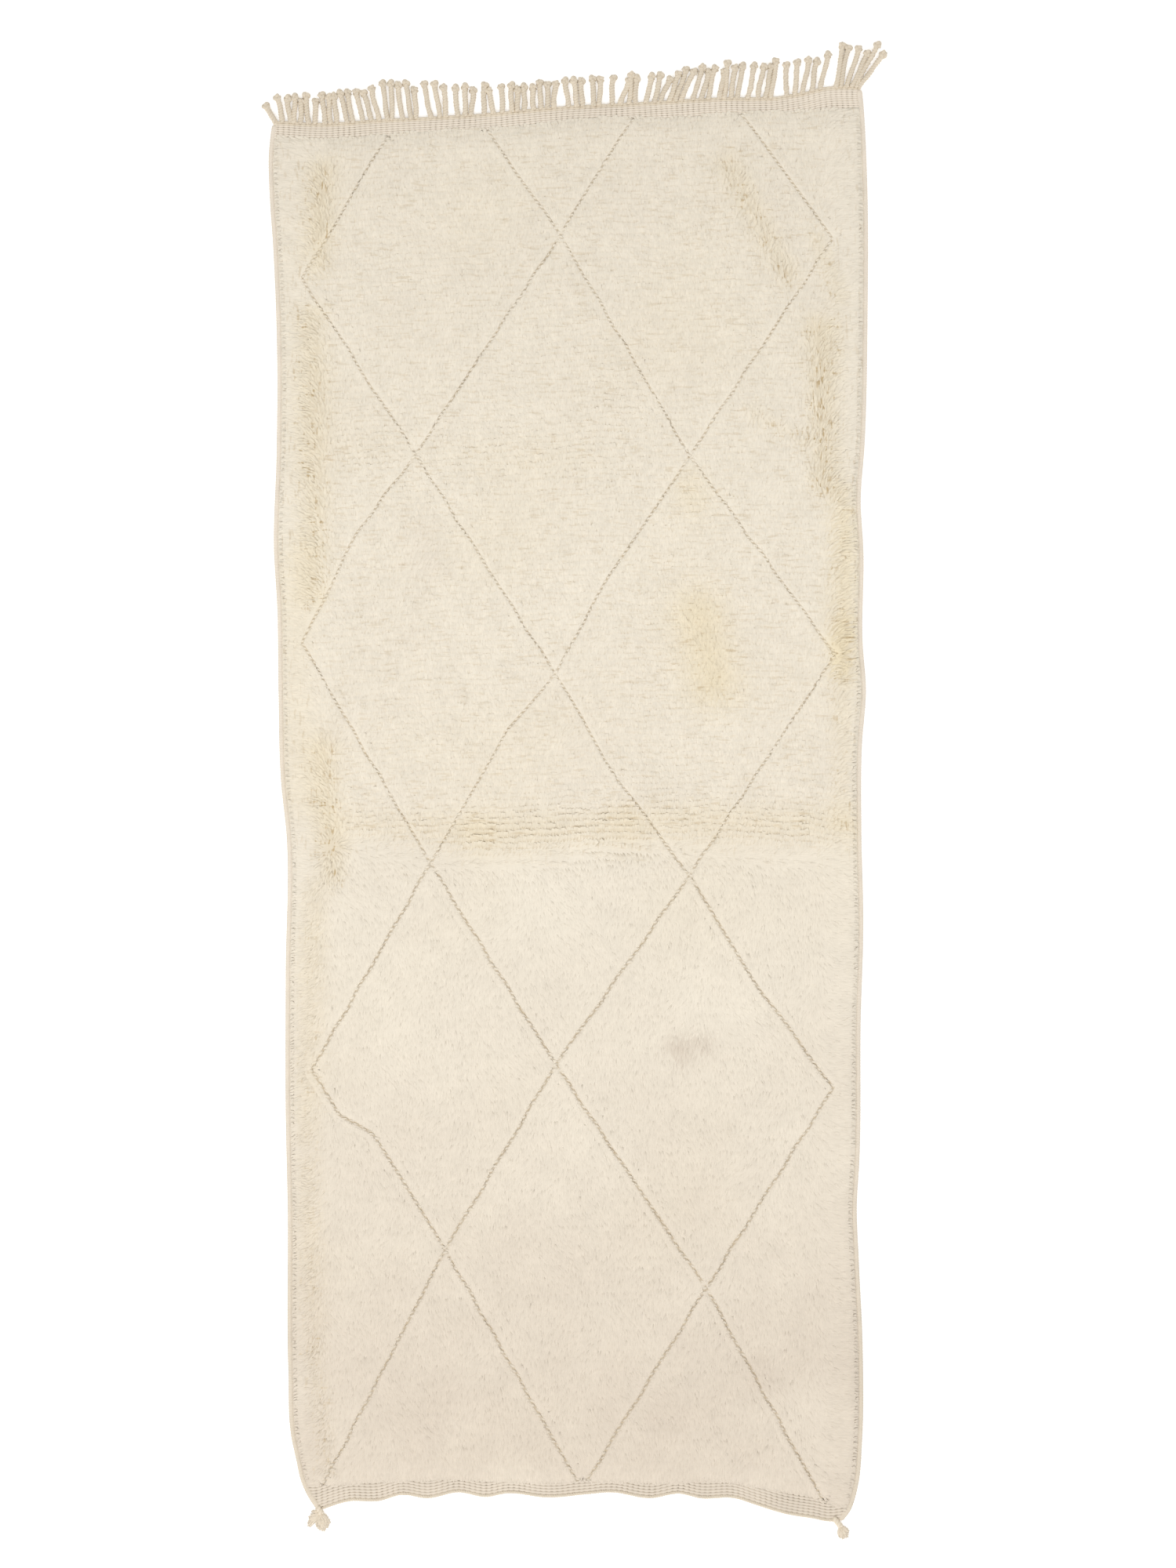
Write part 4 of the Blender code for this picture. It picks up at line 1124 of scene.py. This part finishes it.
def make_grooves():
    """A row of knots along each groove: a tube of ellipses that lie in the rows of the weave,
    across the rug. It swells on each knot until it meets both banks and leaves a small hole
    between two knots. The row steps from side to side, most below the cross parting."""
    tubes = Tubes()
    turn = 2 * np.pi * np.arange(5) / 5 + np.pi / 2
    for number, line in enumerate(GROOVES):
        flat, run = resample(line, KNOT_PITCH / KNOT_STATIONS)
        inside = pile_margin(flat[:, 0], flat[:, 1]) > 3 * MM
        flat, run = flat[inside], run[inside]
        upper = upper_share(flat[:, 1])
        rim = rim_share(flat[:, 0], flat[:, 1])[:, None]
        phase = run / KNOT_PITCH + 0.3 * ripple(flat[:, 0], flat[:, 1], 0.05, 31 + number)
        step = (3.0 - 2.0 * upper) * np.sin(np.pi * phase) + 0.5 * ripple(run, run * 0, 0.03, 35)
        swell = np.abs(np.sin(np.pi * phase)) ** 0.9
        fill = swell * (1 + 0.2 * ripple(flat[:, 0], flat[:, 1], 0.03, 61 + number))
        aside = (step[:, None] + (1.0 + (4.0 - 0.7 * upper) * fill)[:, None] * np.cos(turn)) * MM
        upward = 1.8 + 1.5 * fill[:, None] + (0.5 + 1.5 * fill)[:, None] * np.sin(turn)
        height = CROWN_EDGE + upward * (0.1 + 0.9 * rim) * MM
        rings = np.stack([flat[:, 0, None] + aside, flat[:, 1, None] + 0 * aside, height], -1)[None]
        # Painted shade in the necks between the knots.
        tubes.add(rings, rise=swell[None, :, None], number=0.3 + number * 0.15, **path_tints(flat))
    return tubes.make("groove_knots", knot_wool)


WEFT_COLUMN = 8.4 * MM
WEFT_STATIONS = 4
TOP_WEFT = 3.5 * MM
BOTTOM_WEFT = 4.6 * MM
TUCKED = 3 * MM  # how far the rows of a woven end run under the pile and the side cords


def weft_rows(tubes, x, y, depth):
    """Wefts of a woven end, one for each row of places. Each is a flattened yarn whose height and
    width grow with |sin|^0.7 between two warps and dip over every warp, so that four yarns leave
    a small hole between them."""
    column = x / WEFT_COLUMN + 0.12 * ripple(x, y, 0.06, 42)
    wave = np.abs(np.sin(np.pi * column)) ** 0.7
    y = y + 0.2 * MM * ripple(x, y, 0.05, 41)
    path = np.stack([x, y, cloth_height(x, y) + (0.8 + 0.9 * wave) * MM], -1)
    rings = tube(path, depth * (0.42 + 0.2 * wave), 1.2 * MM, 6)
    marks = {name: mark[..., None] for name, mark in tints(x, y).items()}
    seed = (np.arange(len(x)) + 7 * tubes.cell_count)[:, None, None] * 0.37 % 1
    # Painted shade where the weft dips over a warp.
    tubes.add(rings, rise=0.4 + 0.6 * wave[..., None], number=seed, **marks)


def make_woven_ends():
    """Rows of weft side by side from each end edge inwards, each as far as it shows between the
    side cords and short of the pile."""
    tubes = Tubes()
    x = np.arange(-OVERALL_WIDTH / 2, OVERALL_WIDTH / 2, WEFT_COLUMN / WEFT_STATIONS)
    # Edge, way inwards, place of the first row, pitch and number of rows.
    for edge, inward, first, pitch, count in (
        (body_top, -1, -0.3 * MM, TOP_WEFT, 10), (bottom_edge, 1, 4.6 * MM, BOTTOM_WEFT, 8)
    ):
        for row in range(count):
            y = edge(x) + inward * (first + (row + 0.5) * pitch)
            side, end = pile_margins(x, y)
            shown = np.flatnonzero((end <= TUCKED) & (side >= -TUCKED))
            if len(shown) < 8:
                continue
            run = slice(shown[0], shown[-1] + 1)
            weft_rows(tubes, x[None, run], y[None, run], pitch)
    return tubes.make("woven_ends", weft_wool)


def overcast(flat, half_width, half_height, height, pitch, depth):
    """A cord wound with yarn: its radius falls by a share, depth, between two turns of the
    winding, which leans a little along the cord. It is rounded off over 4 mm at both ends. Also
    gives |sin(pi * run / pitch)|, by which painted shade falls between the turns of the winding."""
    run = np.cumsum(np.concatenate([[0], np.linalg.norm(np.diff(flat, axis=0), axis=1)]))
    wander = 0.4 * ripple(run, run * 0, 0.04, 51)
    taper = 0.3 + 0.7 * np.sqrt(np.clip(np.minimum(run, run[-1] - run) / (4 * MM), 0, 1))

    def swell(turn):
        phase = np.pi * run[:, None] / pitch + 0.2 * turn + wander[:, None]
        return (1.08 - depth * (1 - np.abs(np.sin(phase)))) * taper[:, None]

    ridge = np.abs(np.sin(np.pi * run / pitch))[None, :, None]
    return tube(lifted(flat, height)[None], half_width, half_height, 6, swell), ridge


SIDE_INSET = 4.3 * MM
SIDE_HALF_WIDTH = 4.9 * MM
SIDE_STEP = 1.4 * MM
SIDE_PITCH = 4.2 * MM
HEM_START = 81 * MM  # from the outermost place of the left side cord
HEM_END = 3 * MM  # from the innermost place of the right side cord
HEM_INSET = 2.2 * MM
HEM_PITCH = 3.7 * MM
HEM_STATIONS = 700


def make_selvedge(name, node_name, side, inward):
    """A side cord as long as the solid that it replaces. It is thicker and lies higher beside the
    pile than beside the woven ends."""
    low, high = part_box(node_name)
    y = np.linspace(low[1], high[1], round((high[1] - low[1]) / SIDE_STEP))
    flat = np.stack([side(y) + inward * SIDE_INSET, y], 1)
    height = cloth_height(flat[:, 0] + inward * 5 * MM, flat[:, 1])
    rise = (height - FLAT_WEAVE) / (BED_HEIGHT - FLAT_WEAVE)
    half_height, height = (3.0 + 0.7 * rise) * MM, (3.4 + 1.2 * rise) * MM
    rings, ridge = overcast(flat, SIDE_HALF_WIDTH, half_height, height, SIDE_PITCH, 0.2)
    tubes = Tubes()
    # Painted shade between the turns of the winding.
    tubes.add(rings, rise=0.4 + 0.6 * ridge, number=0.4, **path_tints(flat))
    piece = tubes.make(name, side_wool)
    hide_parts(node_name)
    return piece


def make_hem():
    """The twined edge below the lower woven end, from one side cord to the other."""
    tubes = Tubes()
    left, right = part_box("selvedge_left"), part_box("selvedge_right")
    x = np.linspace(left[0][0] + HEM_START, right[0][0] + HEM_END, HEM_STATIONS)
    flat = np.stack([x, bottom_edge(x) + HEM_INSET], 1)
    rings, ridge = overcast(
        flat, half_width=3.2 * MM, half_height=2.8 * MM, height=3.1 * MM, pitch=HEM_PITCH, depth=0.5
    )
    # Painted shade between the turns of the winding.
    tubes.add(rings, rise=ridge, number=0.7, **path_tints(flat))
    return tubes.make("twined_hem", cord_wool)


# ---------------------------------------------------------------- the fringe

PLY_RADIUS = 2.8 * MM
PLY_ORBIT = 1.9 * MM
PLY_PITCH = 8.4 * MM
CORD_HEIGHT = 4.9 * MM
CORD_BOW = 1.2 * MM
KNOT_SIZE = 1.5 * MM
KNOT_YARN = 2.8 * MM


def fringe_cords():
    """Root and middle of the knot of every cord, from left to right."""
    knots = at_origin([Place(cord.x, cord.y) for cord in FRINGE_CORDS])
    x = at_origin([Place(cord.root, 0) for cord in FRINGE_CORDS])[:, 0]
    return np.stack([x, fringe_edge(x)], 1), knots


def twisted(path, run, pitch, orbit, radius, around):
    """Two plies wound round a path: each is carried at the orbit, half a turn from the other."""
    sideways, upward, _ = frames(path)
    plies = []
    for start in (0, np.pi):
        turn = (2 * np.pi * run / pitch + start)[..., None]
        ply = path + orbit * (sideways * np.cos(turn) + upward * np.sin(turn))
        plies.append(tube(ply, radius, radius, around))
    return np.concatenate(plies)


def overhand_knot():
    """The middle of a knotted yarn: the trefoil sin t + 2 sin 2t, cos t - 2 cos 2t, -1.3 sin 3t,
    a little open where the cord comes in."""
    t = np.linspace(np.pi + 0.2, 3 * np.pi - 0.2, 30)
    loop = [np.sin(t) + 2 * np.sin(2 * t), np.cos(t) - 2 * np.cos(2 * t), -1.3 * np.sin(3 * t)]
    return np.stack(loop, 1) * KNOT_SIZE


def make_fringe():
    """Cord n bows aside by CORD_BOW * (sin 2.1n * sin pi t + 0.6 sin 3.7n * sin 2 pi t) at the
    share t of its length, the radius of its plies wavers, and its knot is spun by 2.4n. The cords
    leave a twined strip, two rows of weft along the edge."""
    roots, knots = fringe_cords()
    run = knots - roots
    length = np.linalg.norm(run, axis=1, keepdims=True)
    ahead = run / length
    across = np.stack([ahead[:, 1], -ahead[:, 0]], 1)
    number = np.arange(len(roots))
    t = np.linspace(-0.04, 0.97, 28)[None, :, None]
    bow = np.sin(2.1 * number)[:, None, None] * np.sin(np.pi * t)
    bow = CORD_BOW * (bow + 0.6 * np.sin(3.7 * number)[:, None, None] * np.sin(2 * np.pi * t))
    flat = roots[:, None] + run[:, None] * t + across[:, None] * bow
    path = lifted(flat, CORD_HEIGHT)
    distance = t[..., 0] * length + number[:, None] * 1.7 * MM
    tubes = Tubes()
    radius = PLY_RADIUS * (1 + 0.09 * ripple(distance, number[:, None] * 0.1, 0.012, 52))
    rings = twisted(path, distance, PLY_PITCH, PLY_ORBIT, radius, 5)
    seed = np.tile(number * 0.618 % 1, 2)[:, None, None]
    tubes.add(rings, rise=0.8, number=seed)

    loop = overhand_knot()
    aside, onward = turned(loop[:, 0], loop[:, 1], 2.4 * number[:, None])
    flat = knots[:, None] + across[:, None] * aside[..., None] + ahead[:, None] * onward[..., None]
    rings = tube(lifted(flat, CORD_HEIGHT + loop[:, 2]), KNOT_YARN, KNOT_YARN, 5)
    tubes.add(rings, rise=0.75, number=(number * 0.37 % 1)[:, None, None])

    ends = at_origin([FRINGE_EDGE[0], FRINGE_EDGE[-1]])[:, 0]
    x = np.linspace(ends[0] + 1.5 * MM, ends[1] - 1.5 * MM, 440)[None].repeat(2, 0)
    y = fringe_edge(x) - STRIP_WIDTH * np.array([0.76, 0.26])[:, None]
    weft_rows(tubes, x, y, STRIP_WIDTH * 0.53)
    piece = tubes.make("warp_fringe", cord_wool)
    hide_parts("fringe")
    return piece


# ---------------------------------------------------------------- the corner tufts

LOWEST_TIP = 1.2 * MM
SPRAY_LOW = 2.5 * MM
SPRAY_ARCH = 1.5 * MM
SPRAY_WIDTHS = np.array([0.8, 1.0, 1.15, 1.05, 0.65]) * 1.15 * MM
NECK_HEIGHT = 5 * MM
NECK_PITCH = 10 * MM
NECK_ORBIT = 2.1 * MM


def spray_rings(start, spray):
    """Soft locks from the end of a neck to tips spread over an ellipse, most of them near its rim
    and lower there. Each is a parabola from its start to its tip that is drawn towards a bend,
    and it is arched by a sine."""
    angle = random.uniform(0, 2 * np.pi, spray.count)
    out = random.uniform(0, 1, spray.count) ** 0.4
    across = spray.reach_x * MM * out * np.cos(angle)
    along = spray.reach_y * MM * out * np.sin(angle)
    tip = at_origin([spray]) + np.stack(turned(across, along, spray.turn), 1)
    rise = np.sqrt(1 - out**2 * 0.98) * random.uniform(0.3, 1, spray.count)
    tip_height = LOWEST_TIP + (spray.top * MM - LOWEST_TIP) * rise
    start = start + random.normal(0, 0.8 * MM, tip.shape)
    bend = start * 0.45 + tip * 0.55 + random.normal(0, 1.2 * MM, tip.shape)
    t = np.linspace(0, 1, len(SPRAY_WIDTHS))
    share = t[:, None]
    flat = start[:, None] * (1 - share) ** 2 + 2 * bend[:, None] * share * (1 - share)
    flat = flat + tip[:, None] * share**2
    height = SPRAY_LOW + (tip_height[:, None] - SPRAY_LOW) * t + SPRAY_ARCH * np.sin(np.pi * t)
    return tube(lifted(flat, height), SPRAY_WIDTHS, SPRAY_WIDTHS * 0.8, 4)


def make_tuft(name, node_name, tuft):
    """A twisted neck that leaves the corner, and the sprays of locks that its end opens into."""
    tubes = Tubes()
    corner, start = at_origin([tuft.corner, tuft.neck_end])
    share = np.linspace(0, 1, 12)
    run = np.linalg.norm(start - corner) * share
    neck = lifted(corner + (start - corner) * share[:, None], NECK_HEIGHT)
    tubes.add(twisted(neck[None], run[None], NECK_PITCH, NECK_ORBIT, PLY_RADIUS, 6), rise=0.7)
    for spray in tuft.sprays:
        rings = spray_rings(start, spray)
        number = random.uniform(0, 1, len(rings))[:, None, None]
        # Painted shade towards the neck end of each lock.
        tubes.add(rings, rise=np.linspace(0.5, 1, 5)[None, :, None], number=number, greying=0.35)
    piece = tubes.make(name, tuft_wool)
    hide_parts(node_name)
    return piece


cloth = make_cloth()
pile = [make_crown(), make_banks(), *make_locks()]
grooves = make_grooves()
ends = make_woven_ends()
hem = make_hem()
selvedges = [
    make_selvedge("side_cord_left", "selvedge_left", left_side, 1),
    make_selvedge("side_cord_right", "selvedge_right", right_side, -1),
]
fringe = make_fringe()
tufts = [
    make_tuft("tuft_left", "corner_tuft_left", LEFT_TUFT),
    make_tuft("tuft_right", "corner_tuft_right", RIGHT_TUFT),
]
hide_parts("rug_body")


# ---------------------------------------------------------------- studio

VIEW_MIDDLE = (0.0222, 0.0101)
VIEW_HEIGHT = 2.4
VIEW_LEVEL = 12 * MM  # height above the floor at which the picture is VIEW_HEIGHT tall
LENS = 85
SENSOR = 36
FLOOR_REACH = 30
FLOOR_WHITE = 0.93
FLOOR_GLOW = 0.3  # a sweep lit from behind, so that hardly any shadow shows on it
KEY_PLACE = (-0.6, -2.4, 3.2)
KEY_SIZE = 2.5
KEY_POWER = 58
FILL = 0.91


def make_floor():
    """A plain pale floor, far larger than the view."""
    mesh = bpy.data.meshes.new("floor")
    corners = [(x * FLOOR_REACH, y * FLOOR_REACH, 0) for x, y in ((-1, -1), (1, -1), (1, 1), (-1, 1))]
    mesh.from_pydata(corners, [], [(0, 1, 2, 3)])
    material = bpy.data.materials.new("floor_white")
    material.use_nodes = True
    shader = material.node_tree.nodes["Principled BSDF"]
    shader.inputs["Base Color"].default_value = (FLOOR_WHITE, FLOOR_WHITE, FLOOR_WHITE, 1)
    shader.inputs["Roughness"].default_value = 0.9
    shader.inputs["Specular IOR Level"].default_value = 0.0
    shader.inputs["Emission Color"].default_value = (1, 1, 1, 1)
    shader.inputs["Emission Strength"].default_value = FLOOR_GLOW
    mesh.materials.append(material)
    floor = bpy.data.objects.new("floor", mesh)
    bpy.context.scene.collection.objects.link(floor)


def make_light():
    """An even white surround and one soft square lamp, high up beyond the lower end."""
    world = bpy.data.worlds.new("studio")
    world.use_nodes = True
    background = world.node_tree.nodes["Background"]
    background.inputs["Color"].default_value = (1, 1, 1, 1)
    background.inputs["Strength"].default_value = FILL
    bpy.context.scene.world = world
    lamp = bpy.data.lights.new("key", "AREA")
    lamp.shape = "SQUARE"
    lamp.size = KEY_SIZE
    lamp.energy = KEY_POWER
    key = bpy.data.objects.new("key", lamp)
    key.location = KEY_PLACE
    key.rotation_euler = (-Vector(key.location)).to_track_quat("-Z", "Y").to_euler()
    bpy.context.scene.collection.objects.link(key)


def make_camera():
    """A camera that looks straight down at VIEW_MIDDLE."""
    data = bpy.data.cameras.new("camera")
    data.lens = LENS
    data.sensor_width = SENSOR
    data.clip_end = 100
    camera = bpy.data.objects.new("camera", data)
    camera.location = (*VIEW_MIDDLE, VIEW_HEIGHT * LENS / SENSOR + VIEW_LEVEL)
    bpy.context.scene.collection.objects.link(camera)
    bpy.context.scene.camera = camera


make_floor()
make_light()
make_camera()
bpy.context.scene.view_settings.view_transform = "Standard"
